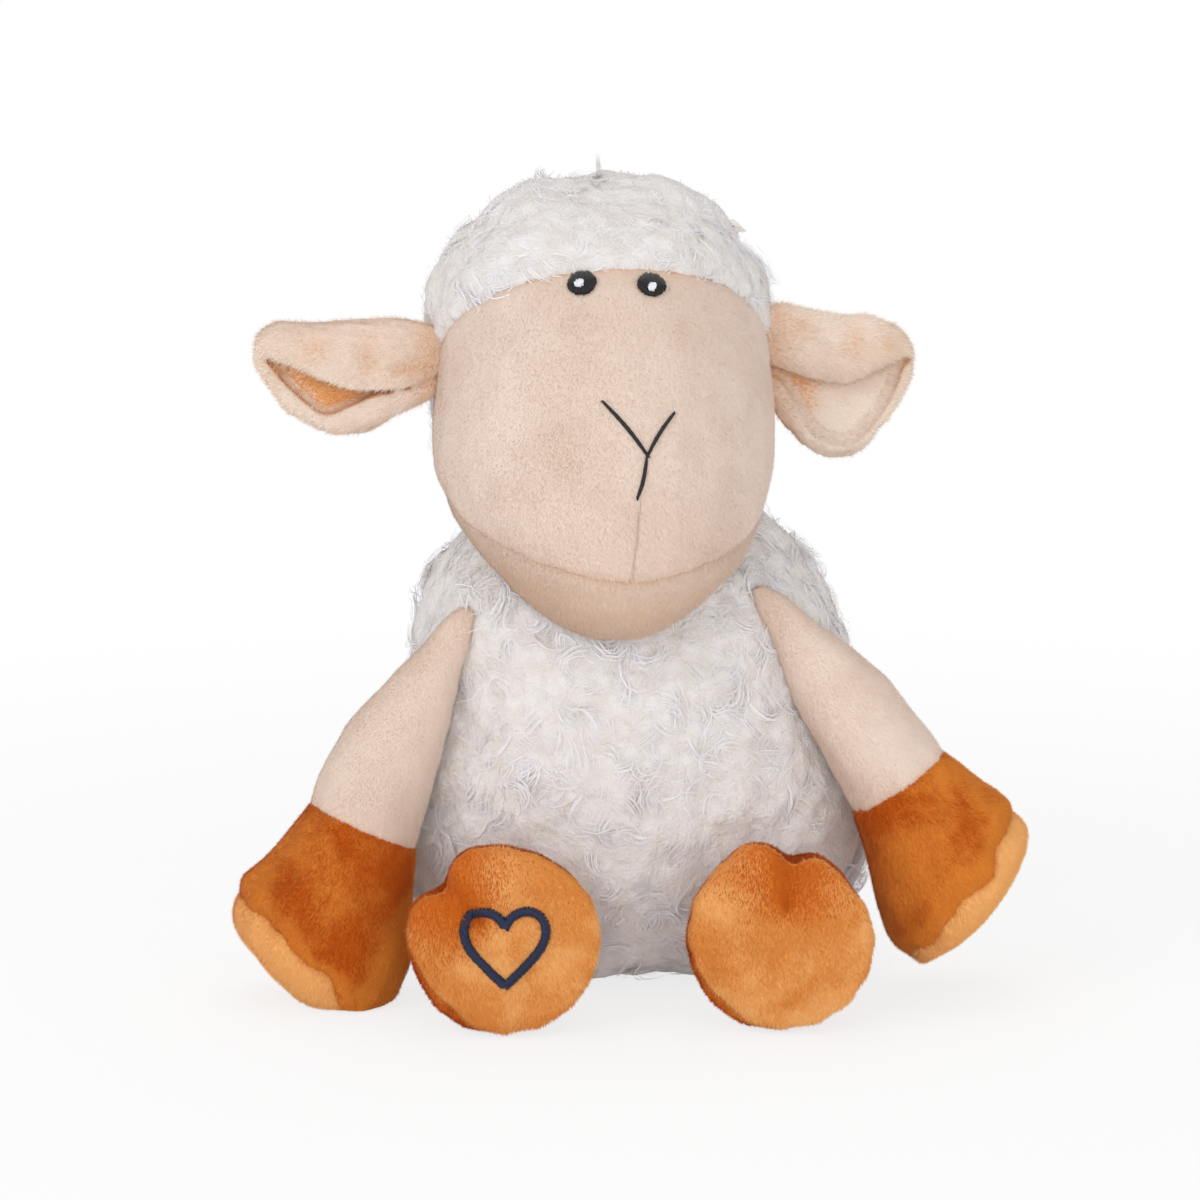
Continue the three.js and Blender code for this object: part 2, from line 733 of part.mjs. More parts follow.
// A root skew shifts the root's outer edge along the limb, to follow a slanting seam.
function limbSkin(limb, side, inset = 0, rootSkew = 0) {
  const endInset = Math.max(inset, 0);
  const rings = limb.shares
    .map(([along, width, depth]) => ({
      level: Math.min(along * limb.length, limb.length - inset),
      middle: side * limb.bow * Math.sin(Math.PI * along),
      halfWidth: width * limb.halfWidth - inset,
      halfDepth: depth * limb.halfDepth - inset,
      skew: rootSkew * (1 - along) ** 2 - side * limb.endSkew * along ** 2,
    }))
    .filter(({ halfWidth, halfDepth }) => Math.min(halfWidth, halfDepth) > endInset / 2);
  const first = rings[0];
  const tip = (first.level - Math.min(first.halfWidth, first.halfDepth) / 2);
  const ringPoints = rings.map(({ level, middle, halfWidth, halfDepth, skew }) => (
    Array.from({ length: limb.around }, (_, i) => {
      const turn = -(i / limb.around) * 2 * Math.PI;
      const x = middle + halfWidth * Math.cos(turn);
      return new THREE.Vector3(x, halfDepth * Math.sin(turn), -level - skew * x);
    })
  ));
  return skin(
    ringPoints,
    new THREE.Vector3(first.middle, 0, -tip),
    new THREE.Vector3(0, 0, -limb.length - limb.bulge + inset),
  );
}

function slabBetween(limb, from, to) {
  const reach = limb.length + OVERRUN;
  return block(new THREE.Vector3(-reach, -reach, -to), new THREE.Vector3(reach, reach, -from));
}

// Adds a limb's cover pieces and filling, each cleared of what it touches.
function addLimb(group, name, limb, side, rootSkew, cleared) {
  const outer = solid(limbSkin(limb, side, 0, rootSkew));
  const cover = cleared(outer.subtract(solid(limbSkin(limb, side, COVER, rootSkew))));
  const cuffAt = limb.cuffShare * limb.length;
  const soleAt = limb.soleShare * limb.length;
  const sleeve = cover.intersect(slabBetween(limb, -OVERRUN, cuffAt - GAP));
  const cuff = cover.intersect(slabBetween(limb, cuffAt, soleAt - GAP));
  const sole = cover.intersect(slabBetween(limb, soleAt, limb.length + OVERRUN));
  group.add(meshOf(`${name}_sleeve`, sleeve, material(CREAM)));
  group.add(meshOf(`${name}_hoof_cuff`, cuff, material(HOOF_BROWN)));
  group.add(meshOf(`${name}_sole`, sole, material(SOLE_TAN)));
  const filling = cleared(solid(limbSkin(limb, side, COVER + GAP, rootSkew)));
  group.add(meshOf(`${name}_filling`, filling, material(FILLING_WHITE)));
}

const torsoRoomAt = (group) => seenFrom(group, solid(movedIn(torsoForm, -GAP)), sheep);

// Arms
for (const [name, side, out, forward] of [
  ['right', -1, ARM_OUT_RIGHT, ARM_FORWARD_RIGHT],
  ['left', 1, ARM_OUT_LEFT, ARM_FORWARD_LEFT],
]) {
  const shoulder = shoulders[name];
  const arm = new THREE.Group();
  arm.rotation.set(degToRad(-forward), degToRad(-side * out), 0, 'ZXY');
  shoulder.add(arm);
  const room = torsoRoomAt(shoulder);
  const swung = [0, ARM_SWING / 4, ARM_SWING / 2, ARM_SWING].map((angle) => room.rotate(angle, 0, 0));
  const raised = room.rotate(0, side * ARM_RAISE, 0);
  const rooms = [...swung, raised, knotRoom].map((part) => seenFrom(arm, part, shoulder));
  const floor = seenFrom(arm, floorBlock, sheep);
  const cleared = (shape) => rooms.reduce((left, part) => left.subtract(part), shape.subtract(floor));
  addLimb(arm, `${name}_arm`, ARM, side, 0, cleared);
}

// Legs
const footHalfDepth = LEG.halfDepth * Math.max(...LEG.shares.map(([, , depth]) => depth));
const footRise = LEG.length * Math.sin(degToRad(FOOT_LIFT));
const hipHeight = footHalfDepth - footRise - FLOOR_CUT;
const legs = {};
for (const [name, side, angle, seamTurn] of [
  ['right', -1, HIP_ANGLE_RIGHT, HIP_TURN_RIGHT],
  ['left', 1, HIP_ANGLE_LEFT, HIP_TURN_LEFT],
]) {
  const hip = new THREE.Group();
  hip.name = `${name}_hip`;
  hip.position.copy(besideTorso(hipHeight, side, angle, GAP));
  hip.rotation.z = degToRad(side * seamTurn);
  sheep.add(hip);
  const leg = new THREE.Group();
  leg.rotation.set(degToRad(-90 - FOOT_LIFT), 0, degToRad(side * (LEG_SPLAY - seamTurn)), 'ZXY');
  hip.add(leg);
  const room = torsoRoomAt(hip);
  const rooms = [0, LEG_UP, -LEG_DOWN].map((turn) => seenFrom(leg, room.rotate(turn, 0, 0), hip));
  const floor = seenFrom(leg, floorBlock, sheep);
  const cleared = (shape) => rooms.reduce((left, part) => left.subtract(part), shape.subtract(floor));
  const skew = -side * Math.tan(degToRad(seamTurn));
  addLimb(leg, `${name}_leg`, LEG, side, skew, cleared);
  legs[name] = leg;
}

// A heart stitched in outline on the right foot's sole
function heartOutline(width) {
  const sized = (shares) => shares.map((share) => share * width / 2);
  const shape = new THREE.Shape();
  shape.moveTo(...sized(HEART_START_SHARES));
  for (const shares of HEART_CURVE_SHARES) shape.bezierCurveTo(...sized(shares));
  return shape.getPoints(HEART_STEPS).slice(0, -1);
}

// A place on a leg's crowned sole; x and y are seen from in front
function onSole({ x, y }, distance) {
  const [, width, depth] = LEG.shares[LEG.shares.length - 1];
  const reach = Math.hypot(x / (width * LEG.halfWidth), y / (depth * LEG.halfDepth));
  return new THREE.Vector3(x, -y, -LEG.length - LEG.bulge * (1 - reach) - distance);
}

const heart = solid(stitchedRing(
  onSole,
  heartOutline(HEART_WIDTH - 2 * HEART_LINE).reverse(),
  heartOutline(HEART_WIDTH).reverse(),
));
legs.right.add(meshOf('right_foot_embroidery', heart, material(THREAD_NAVY, THREAD_ROUGHNESS)));

// The origin is the middle of the base: centred in plan, with the floor at zero height.
const part = new THREE.Group();
part.add(sheep);
const bounds = new THREE.Box3().setFromObject(part, true);
const middle = bounds.getCenter(new THREE.Vector3());
sheep.position.set(-middle.x, -middle.y, -bounds.min.z);

export default part;
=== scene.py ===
import json
import math

import bmesh
import bpy
import numpy as np
from mathutils import Euler, Matrix, Vector, noise
from mathutils.bvhtree import BVHTree

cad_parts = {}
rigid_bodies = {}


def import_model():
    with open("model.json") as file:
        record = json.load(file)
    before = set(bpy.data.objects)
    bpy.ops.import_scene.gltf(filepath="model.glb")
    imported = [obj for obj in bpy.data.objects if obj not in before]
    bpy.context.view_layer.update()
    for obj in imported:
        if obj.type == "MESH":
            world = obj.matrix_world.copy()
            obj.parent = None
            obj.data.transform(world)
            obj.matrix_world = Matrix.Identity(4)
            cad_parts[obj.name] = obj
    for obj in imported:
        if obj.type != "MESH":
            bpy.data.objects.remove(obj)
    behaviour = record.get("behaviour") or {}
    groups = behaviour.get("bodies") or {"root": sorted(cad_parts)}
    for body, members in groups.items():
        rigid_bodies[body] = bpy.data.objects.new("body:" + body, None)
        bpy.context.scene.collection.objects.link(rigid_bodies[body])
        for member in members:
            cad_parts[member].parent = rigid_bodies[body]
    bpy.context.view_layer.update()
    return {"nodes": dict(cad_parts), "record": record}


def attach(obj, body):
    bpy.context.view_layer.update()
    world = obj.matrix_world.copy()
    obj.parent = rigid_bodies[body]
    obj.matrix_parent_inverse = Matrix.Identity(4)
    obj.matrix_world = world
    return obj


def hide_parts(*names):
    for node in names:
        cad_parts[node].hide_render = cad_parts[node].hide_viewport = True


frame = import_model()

# Plush sheep, seated. Metres, +Z up, the sheep faces -Y. Right and left are the sheep's own.
MM = 0.001
SEAT = Vector((-3.166, 20.96, 0.0)) * MM
joint_place = {joint["name"]: Vector(joint["pos_m"]) for joint in frame["record"]["behaviour"]["joints"]}


# Camera, as the sheep was photographed

VIEW_HEIGHT = 10  # degrees above the floor
VIEW_DISTANCE = 1250 * MM
VIEW_MIDDLE = SEAT + Vector((-10.5, 0, 128)) * MM
VIEW_WIDTH = 420 * MM

camera_data = bpy.data.cameras.new("camera")
camera_data.sensor_width = 36
camera_data.lens = camera_data.sensor_width * VIEW_DISTANCE / VIEW_WIDTH
camera = bpy.data.objects.new("camera", camera_data)
bpy.context.scene.collection.objects.link(camera)
lift = math.radians(VIEW_HEIGHT)
camera.location = VIEW_MIDDLE + Vector((0, -math.cos(lift), math.sin(lift))) * VIEW_DISTANCE
camera.rotation_euler = Euler((math.radians(90) - lift, 0, 0))
bpy.context.scene.camera = camera
bpy.context.scene.view_settings.view_transform = "Standard"


# Node trees, written as expressions

class Wire:
    """An output of a node tree that takes part in Python expressions."""

    def __init__(self, board, socket):
        self.board, self.socket = board, socket

    def _maths(self, operation, other):
        return self.board.node("ShaderNodeMath", {"operation": operation}, [self, other])

    def __add__(self, other):
        return self._maths("ADD", other)

    def __sub__(self, other):
        return self._maths("SUBTRACT", other)

    def __mul__(self, other):
        return self._maths("MULTIPLY", other)

    def __gt__(self, other):
        return self._maths("GREATER_THAN", other)

    def clamped(self):
        return self.board.node("ShaderNodeClamp", {}, [self])


class Board:
    """A node tree that is filled in by calls."""

    def __init__(self, tree):
        self.tree = tree

    def node(self, kind, settings=None, inputs=(), out=0):
        made = self.tree.nodes.new(kind)
        for name, value in (settings or {}).items():
            setattr(made, name, value)
        pairs = inputs.items() if isinstance(inputs, dict) else enumerate(inputs)
        for key, value in pairs:
            if isinstance(value, Wire):
                self.tree.links.new(value.socket, made.inputs[key])
            elif value is not None:
                made.inputs[key].default_value = value
        return Wire(self, made.outputs[out])

    def vector(self, operation, *terms, out=0):
        return self.node("ShaderNodeVectorMath", {"operation": operation}, terms, out)

    def scaled(self, vector, factor):
        return self.node("ShaderNodeVectorMath", {"operation": "SCALE"}, {0: vector, "Scale": factor})

    def mixed(self, share, low, high):
        return self.node("ShaderNodeMix", {"data_type": "RGBA"}, {0: share, 6: low, 7: high}, out=2)

    def noise(self, place, scale, detail=2.0, rough=0.5, out=0):
        return self.node(
            "ShaderNodeTexNoise", {},
            {"Vector": place, "Scale": scale, "Detail": detail, "Roughness": rough}, out,
        )

    def between(self, value, low, high):
        settings = {"interpolation_type": "SMOOTHSTEP"}
        return self.node("ShaderNodeMapRange", settings, {"Value": value, "From Min": low, "From Max": high})

    def patches(self, place, scale):
        """Broad patches with wavering edges."""
        shift = self.scaled(self.noise(place, PATCH_WAVES, out=1), PATCH_WAVE_REACH)
        return self.noise(self.vector("ADD", place, shift), scale, 3.0, 0.55)

    def bump(self, height, strength, distance):
        return self.node("ShaderNodeBump", {}, {"Strength": strength, "Distance": distance, "Height": height})


def linear(red, green, blue, alpha=1.0):
    """A colour as it is seen on a screen, 0 to 255, as Blender's linear values."""
    def channel(value):
        share = value / 255
        return share / 12.92 if share <= 0.04045 else ((share + 0.055) / 1.055) ** 2.4
    return (channel(red), channel(green), channel(blue), alpha)


def new_material(name, **constants):
    material = bpy.data.materials.new(name)
    material.use_nodes = True
    shader = material.node_tree.nodes["Principled BSDF"]
    for socket, value in constants.items():
        shader.inputs[socket.replace("_", " ")].default_value = value
    return material, Board(material.node_tree), shader


def feed(board, shader, **wires):
    for socket, wire in wires.items():
        board.tree.links.new(wire.socket, shader.inputs[socket.replace("_", " ")])


def object_place(board):
    return board.node("ShaderNodeTexCoord", out="Object")


# Fabrics and threads

NAP_PATCH = 34.0  # brushed patches to the metre
PATCH_WAVES, PATCH_WAVE_REACH = 45.0, 0.02  # in their edges: waves to the metre, metres
PATCH_EDGE = (0.34, 0.66)  # the noise values between which a patch turns from dark to light
PILE_STREAKS, PILE_SPECKLES = 900.0, 1500.0  # to the metre
STREAK_STRETCH = (1.0, 1.0, 0.25)
PILE_GRAIN = 0.25  # how much streaks and speckles change the tone


def brushed_pile(name, dark, light, warm, patches=0.35):
    """Short velvety pile, darker or lighter where a hand has brushed it; painted shade darkens it and painted
    sheen lightens it where its points say.
    """
    material, board, shader = new_material(
        name, Roughness=0.88, Specular_IOR_Level=0.15, Sheen_Weight=0.15, Sheen_Roughness=0.45,
        Sheen_Tint=light,
    )
    place = object_place(board)
    patch = board.between(board.patches(place, NAP_PATCH), *PATCH_EDGE)
    along = board.node("ShaderNodeMapping", {}, {"Vector": place, "Scale": STREAK_STRETCH})
    streak = board.noise(along, PILE_STREAKS, 2.0, 0.6)
    speckle = board.noise(place, PILE_SPECKLES, 2.0, 0.6)
    # painted shade mixes in its colour; below zero the amount is painted sheen, which lightens the pile
    warmth = board.node("ShaderNodeAttribute", {"attribute_name": "warmth"}, out="Fac")
    grain = (streak - 0.5) * PILE_GRAIN * 1.6 + (speckle - 0.5) * PILE_GRAIN
    share = patch * patches + (1 - patches) * 0.5 + grain
    share = (share + (warmth * -0.6).clamped()).clamped()
    colour = board.mixed(warmth.clamped(), board.mixed(share, dark, light), warm)
    feed(board, shader, Base_Color=colour, Normal=board.bump(streak * 0.5 + speckle, 0.3, 0.0004))
    return material


# The dark and the light tone of each pile, and the colour painted in as shade in its creases, seams and
# hollows
CREAM = linear(219, 195, 178), linear(236, 219, 206), linear(236, 172, 112)
FACE = linear(212, 187, 169), linear(233, 214, 201), linear(236, 172, 112)
CHIN = linear(201, 178, 160), linear(217, 196, 180), linear(222, 176, 136)
BROWN = linear(188, 80, 6), linear(222, 137, 52), linear(182, 80, 8)
TAN = linear(220, 138, 60), linear(242, 184, 114), linear(206, 104, 24)

# The face's nap lies smooth, the chin's lies the other way; the chin's tones are also painted darker for the
# shade under the head
cream_pile = brushed_pile("cream_pile", *CREAM)
face_pile = brushed_pile("face_pile", *FACE)
chin_pile = brushed_pile("chin_pile", *CHIN)
brown_pile = brushed_pile("brown_hoof_pile", *BROWN, patches=0.75)
tan_pile = brushed_pile("tan_sole_pile", *TAN, patches=0.6)


WOOL_GRAIN, WOOL_TUFTS = 420.0, 150.0  # to the metre


def fleece_ground():
    """The woolly cloth under the curls."""
    material, board, shader = new_material(
        "white_fleece", Roughness=0.85, Sheen_Weight=0.3, Sheen_Roughness=0.5)
    place = object_place(board)
    wool = board.noise(place, WOOL_GRAIN, 4.0, 0.65)
    tufts = board.node("ShaderNodeTexVoronoi", {}, {"Vector": place, "Scale": WOOL_TUFTS})
    # painted shade: the cloth is painted darker in the pits between its tufts
    pit_shade = board.between(tufts * 0.7 + wool * 0.6, 0.35, 0.9)
    colour = board.mixed(pit_shade, linear(240, 236, 235), linear(232, 225, 220))
    feed(board, shader, Base_Color=colour, Normal=board.bump(wool - tufts * 0.6, 0.8, 0.002))
    return material


white_fleece = fleece_ground()


def plain_yarn(name, colour, roughness, sheen, specular):
    return new_material(
        name, Base_Color=colour, Roughness=roughness, Sheen_Weight=sheen, Sheen_Roughness=0.4,
        Specular_IOR_Level=specular,
    )[0]


fleece_yarns = [
    plain_yarn("fleece_curl_shaded", linear(229, 221, 216), 0.6, 0.8, 0.4),
    plain_yarn("fleece_curl", linear(234, 229, 228), 0.55, 0.8, 0.4),
    plain_yarn("fleece_curl_bright", linear(238, 236, 239), 0.4, 0.8, 0.5),
    # the last yarn is painted shade, taken where the cover asks for it
    plain_yarn("fleece_curl_painted_shade", linear(224, 214, 206), 0.6, 0.6, 0.4),
]


def fibre_tones(name, dark, light, warm, sheen):
    """A pile's four yarns: from dark to light, then the one of painted shade."""
    colours = [tuple(d + (l - d) * share for d, l in zip(dark, light)) for share in (0.1, 0.55, 1.0)]
    words = ("dark", "middle", "light", "warm")
    return [plain_yarn(f"{name}_fibre_{word}", colour, 0.8, sheen, 0.15)
            for word, colour in zip(words, colours + [warm])]


cream_fibres = fibre_tones("cream", *CREAM[:2], linear(234, 197, 164), 0.45)
face_fibres = fibre_tones("face", FACE[0], linear(234, 216, 203), linear(230, 192, 158), 0.4)
# the chin's yarns are painted darker too, for the shade under the head
chin_fibres = fibre_tones("chin", linear(203, 179, 162), linear(219, 199, 184), linear(216, 184, 156), 0.3)
# The ears' pile is longer and shades itself, so its yarn is lighter
ear_fibres = fibre_tones("ear", linear(230, 206, 185), linear(246, 231, 217), linear(240, 200, 158), 0.5)
lining_fibres = fibre_tones(
    "lining", linear(240, 217, 196), linear(253, 241, 228), linear(226, 164, 106), 0.5)
brown_fibres = fibre_tones("brown", *BROWN, 0.1)
tan_fibres = fibre_tones("tan", *TAN, 0.15)
threads = {
    "black_thread": plain_yarn("black_thread", linear(14, 11, 12), 0.42, 0.05, 0.4),
    "white_thread": plain_yarn("white_thread", linear(236, 238, 242), 0.45, 0.1, 0.5),
    "navy_thread": plain_yarn("navy_thread", linear(20, 30, 62), 0.42, 0.05, 0.4),
}


# Meshes

def linked(name, mesh):
    obj = bpy.data.objects.new(name, mesh)
    bpy.context.scene.collection.objects.link(obj)
    return obj


def dropped(obj):
    mesh = obj.data
    bpy.data.objects.remove(obj)
    if mesh.users == 0:
        bpy.data.meshes.remove(mesh)


def evaluated(obj):
    graph = bpy.context.evaluated_depsgraph_get()
    return bpy.data.meshes.new_from_object(obj.evaluated_get(graph), depsgraph=graph)


def rows_of(items, field, width, kind=float):
    """A property of all of a mesh's items, a row for each."""
    flat = np.empty(width * len(items), dtype=kind)
    items.foreach_get(field, flat)
    return flat.reshape(-1, width)


def points_of(mesh):
    return rows_of(mesh.vertices, "co", 3)


def normals_of(mesh):
    return rows_of(mesh.vertices, "normal", 3)


def set_points(mesh, points):
    mesh.vertices.foreach_set("co", np.ascontiguousarray(points).ravel())
    mesh.update()


def store(mesh, field, values):
    mesh.attributes.new(field, "FLOAT", "POINT").data.foreach_set("value", values)


def smoothed(mesh, rounds):
    """Evens a mesh out, each round in by a half and out again by a little more."""
    a, b = rows_of(mesh.edges, "vertices", 2, int).T
    points = points_of(mesh)
    count = np.bincount(np.concatenate([a, b]), minlength=len(points))[:, None]
    for weight in (0.5, -0.53) * rounds:
        total = np.zeros_like(points)
        np.add.at(total, a, points[b])
        np.add.at(total, b, points[a])
        points = points + weight * (total / np.maximum(count, 1) - points)
    set_points(mesh, points)


def merged(name, meshes):
    """One mesh of several, joined where their points meet."""
    bm = bmesh.new()
    for mesh in meshes:
        bm.from_mesh(mesh)
    bmesh.ops.remove_doubles(bm, verts=bm.verts, dist=0.01 * MM)
    made = bpy.data.meshes.new(name)
    bm.to_mesh(made)
    bm.free()
    return made


def one_skin(name, mesh, voxel, rounds=6):
    """A closed, even skin round a mesh."""
    obj = linked(name, mesh)
    modifier = obj.modifiers.new("one skin", "REMESH")
    modifier.mode = "VOXEL"
    modifier.voxel_size = voxel
    made = evaluated(obj)
    dropped(obj)
    smoothed(made, rounds)
    return linked(name, made)


def remeshed(name, nodes, voxel):
    """One closed skin round several of the frame's solids."""
    return one_skin(name, merged(name, [frame["nodes"][node].data for node in nodes]), voxel)


def place_in(matrix, points):
    """World points in millimetres of a local frame."""
    inverse = np.array(matrix.inverted())
    return (points @ inverse[:3, :3].T + inverse[:3, 3]) / MM


# Frames of the sheep's parts

HEAD_YAW = 8
head_frame = Matrix.Translation(joint_place["neck_turn"]) @ Matrix.Rotation(math.radians(HEAD_YAW), 4, "Z")
SIDES = {"right": -1, "left": 1}
ARM_LEAN = {"right": (13, 21), "left": (10, 33)}  # forwards, outwards
ARM_LENGTH, ARM_CUFF, ARM_SOLE = 136, 0.605, 0.975
LEG_LENGTH, LEG_CUFF, LEG_SOLE = 50, 0.36, 0.955
LEG_SPLAY, FOOT_LIFT, SWING_TOE_OUT = -2, 3, 12


def turned(degrees, axis):
    return Matrix.Rotation(math.radians(degrees), 4, axis)


arm_frame, leg_frame = {}, {}
for side_name, side in SIDES.items():
    forward, out = ARM_LEAN[side_name]
    arm_frame[side_name] = (
        Matrix.Translation(joint_place[f"{side_name}_arm_swing"])
        @ turned(side * SWING_TOE_OUT, "Z") @ turned(-forward, "X") @ turned(-side * out, "Y")
    )
    leg_frame[side_name] = (
        Matrix.Translation(joint_place[f"{side_name}_leg_swing"])
        @ turned(side * LEG_SPLAY, "Z") @ turned(-90 - FOOT_LIFT, "X")
    )

# Seams of the head in its side view, millimetres from the neck: how far in front, how high
CHIN_DROP, HEAD_HEIGHT, HEAD_FRONT, HEAD_BACK = 45.5, 151, 92, 54


def side_seam(shares):
    rows = []
    for reach, height in shares:
        ahead = reach * HEAD_FRONT if reach > 0 else reach * HEAD_BACK
        rows.append((-ahead, height * HEAD_HEIGHT - CHIN_DROP))
    return np.array(rows)


hairline = side_seam([
    [1.3, 1.12], [1.02, 1.01], [0.63, 0.845], [0.4, 0.73], [0.15, 0.61], [0.02, 0.5], [-0.03, 0.2],
    [-0.05, -0.2],
])
chin_seam = side_seam([[1.3, 0.06], [0.913, 0.185], [0.38, 0.29], [-0.2, 0.41], [-0.6, 0.5]])


def beside(line, points):
    """Signed distance from a line of the side view: above zero on its left, looking along it."""
    best = np.full(len(points), np.inf)
    signed = np.zeros(len(points))
    for (ay, az), (by, bz) in zip(line[:-1], line[1:]):
        dy, dz = by - ay, bz - az
        share = np.clip(((points[:, 0] - ay) * dy + (points[:, 1] - az) * dz) / (dy * dy + dz * dz), 0, 1)
        gap_y, gap_z = points[:, 0] - ay - share * dy, points[:, 1] - az - share * dz
        gap = np.hypot(gap_y, gap_z)
        turn = np.sign(dy * gap_z - dz * gap_y)
        near = gap < best
        best[near] = gap[near]
        signed[near] = (turn * gap)[near]
    return signed


def wavy(points, scale, height, seed=0.0):
    """Smooth random swells over a set of points in millimetres."""
    offset = Vector((seed, 2 * seed, -seed))
    return height * np.array([noise.noise(Vector(p) / scale + offset) for p in points])


def bell(values, width, at=0.0):
    """1 at a value, falling away smoothly over a width."""
    return np.exp(-((values - at) / width) ** 2)


def notch(angle, at, width):
    """The same round a circle."""
    return bell(np.mod(angle - at + math.pi, 2 * math.pi) - math.pi, width)


def ramp(values, start, end):
    """0 to 1 between two values, smoothly."""
    share = np.clip((values - start) / (end - start), 0, 1)
    return share * share * (3 - 2 * share)


# Stuffed forms

TORSO_VOXEL = 4 * MM
HEAD_VOXEL = 3 * MM
LIMB_VOXEL = 2.8 * MM
forms = {
    "torso": remeshed("torso", ["torso_cover", "torso_filling"], TORSO_VOXEL),
    "head": remeshed("head", ["head_fleece_cap", "face_panel", "chin_panel", "head_filling"], HEAD_VOXEL),
}
for side_name in SIDES:
    for limb in ("arm", "leg"):
        nodes = [f"{side_name}_{limb}_{part}" for part in ("sleeve", "hoof_cuff", "sole", "filling")]
        forms[f"{side_name}_{limb}"] = remeshed(f"{side_name}_{limb}", nodes, LIMB_VOXEL)


# Ears, in millimetres: how far out, then the heights of the top, the lip that folds down in front,
# the cup's front rim and the low edge, and how deep the ear is there as a share
EAR_ROWS = {
    "right": [
        (-7, 8.0, -1.5, -3.5, -7, 0.45), (0, 11.2, -4.6, -6.2, -12.5, 0.6),
        (6, 12.9, -6.9, -8.6, -16, 0.8), (13, 13.8, -8.2, -9.9, -19.5, 0.95),
        (20, 14.3, -8.6, -11.2, -22.6, 1.0), (28, 13.7, -7.9, -14.6, -24.4, 1.0),
        (36, 13.1, -5.1, -17.2, -23.4, 0.95), (43, 13.2, -1.6, -13.0, -20.2, 0.85),
        (49, 13.3, 0.6, -7.0, -15.7, 0.75), (53.5, 12.6, 2.0, -1.4, -9.8, 0.62),
        (57, 11.0, 3.4, 2.8, -4.4, 0.5), (59, 8.6, 4.4, 4.0, -0.6, 0.35),
    ],
    "left": [
        (-7, 15.0, -0.8, -3.5, -9, 0.45), (-2, 17.3, -2.2, -6.0, -15, 0.6),
        (3, 17.5, -3.9, -9.0, -21.5, 0.8), (8, 17.1, -5.4, -17.5, -28, 0.95),
        (13, 15.8, -6.9, -26.0, -32.8, 1.0), (19, 13.8, -8.5, -30.0, -35.2, 1.0),
        (25, 13.9, -9.2, -31.0, -35.4, 1.0), (31, 13.7, -7.0, -28.4, -33.4, 0.95),
        (37, 12.2, -4.2, -21.6, -27.4, 0.85), (42.5, 9.8, -1.8, -13.0, -20.6, 0.75),
        (46.5, 6.4, -0.6, -3.4, -13.2, 0.6), (49.5, 2.0, -2.0, -2.3, -7.4, 0.4),
    ],
}
EAR_CLOTH, EAR_AROUND, EAR_VOXEL = 5.4, 22, 0.95 * MM
# How far back each of a row's ten places lies, from the lip over the fold and down to the rim
EAR_DEPTHS = {
    "right": (-8.0, -10.0, -7.5, -1.5, 1.5, 0.5, -1.0, -3.0, -5.0, -6.2),
    "left": (-7.2, -8.8, -6.5, -1.5, 1.0, 0.0, -1.0, -2.2, -3.8, -4.6),
}


def curve_through(points, count):
    """A smooth curve through points, as evenly spaced places."""
    points = np.array(points, dtype=float)
    padded = np.vstack([2 * points[0] - points[1], points, 2 * points[-1] - points[-2]])
    fine = []
    for a, b, c, d in zip(padded[:-3], padded[1:-2], padded[2:-1], padded[3:]):
        for t in np.linspace(0, 1, 12, endpoint=False):
            fine.append(0.5 * (2 * b + (c - a) * t + (2 * a - 5 * b + 4 * c - d) * t * t
                               + (3 * b - a - 3 * c + d) * t ** 3))
    fine = np.array(fine + [points[-1]])
    travel = np.concatenate([[0], np.cumsum(np.linalg.norm(np.diff(fine, axis=0), axis=1))])
    at = np.linspace(0, travel[-1], count)
    return np.column_stack([np.interp(at, travel, fine[:, k]) for k in range(points.shape[1])])


def ear_sections(side_name):
    """The middle of the ear's folded cloth, row by row from the head outwards."""
    rows = curve_through(EAR_ROWS[side_name], 30)
    sections = []
    for out, top, lip, rim, low, deep in rows:
        middle = (top + low) / 2
        heights = (lip, lip + 0.45 * (top - lip), top - 3.2 * deep, top - 2.2, top - 5.5 * deep, middle,
                   low + 6.0 * deep, low + 2.2, low + 3.6, rim)
        line = [(back * deep, height) for back, height in zip(EAR_DEPTHS[side_name], heights)]
        path = curve_through(line, EAR_AROUND)
        sections.append(np.column_stack([np.full(EAR_AROUND, out), path]))
    return np.array(sections)


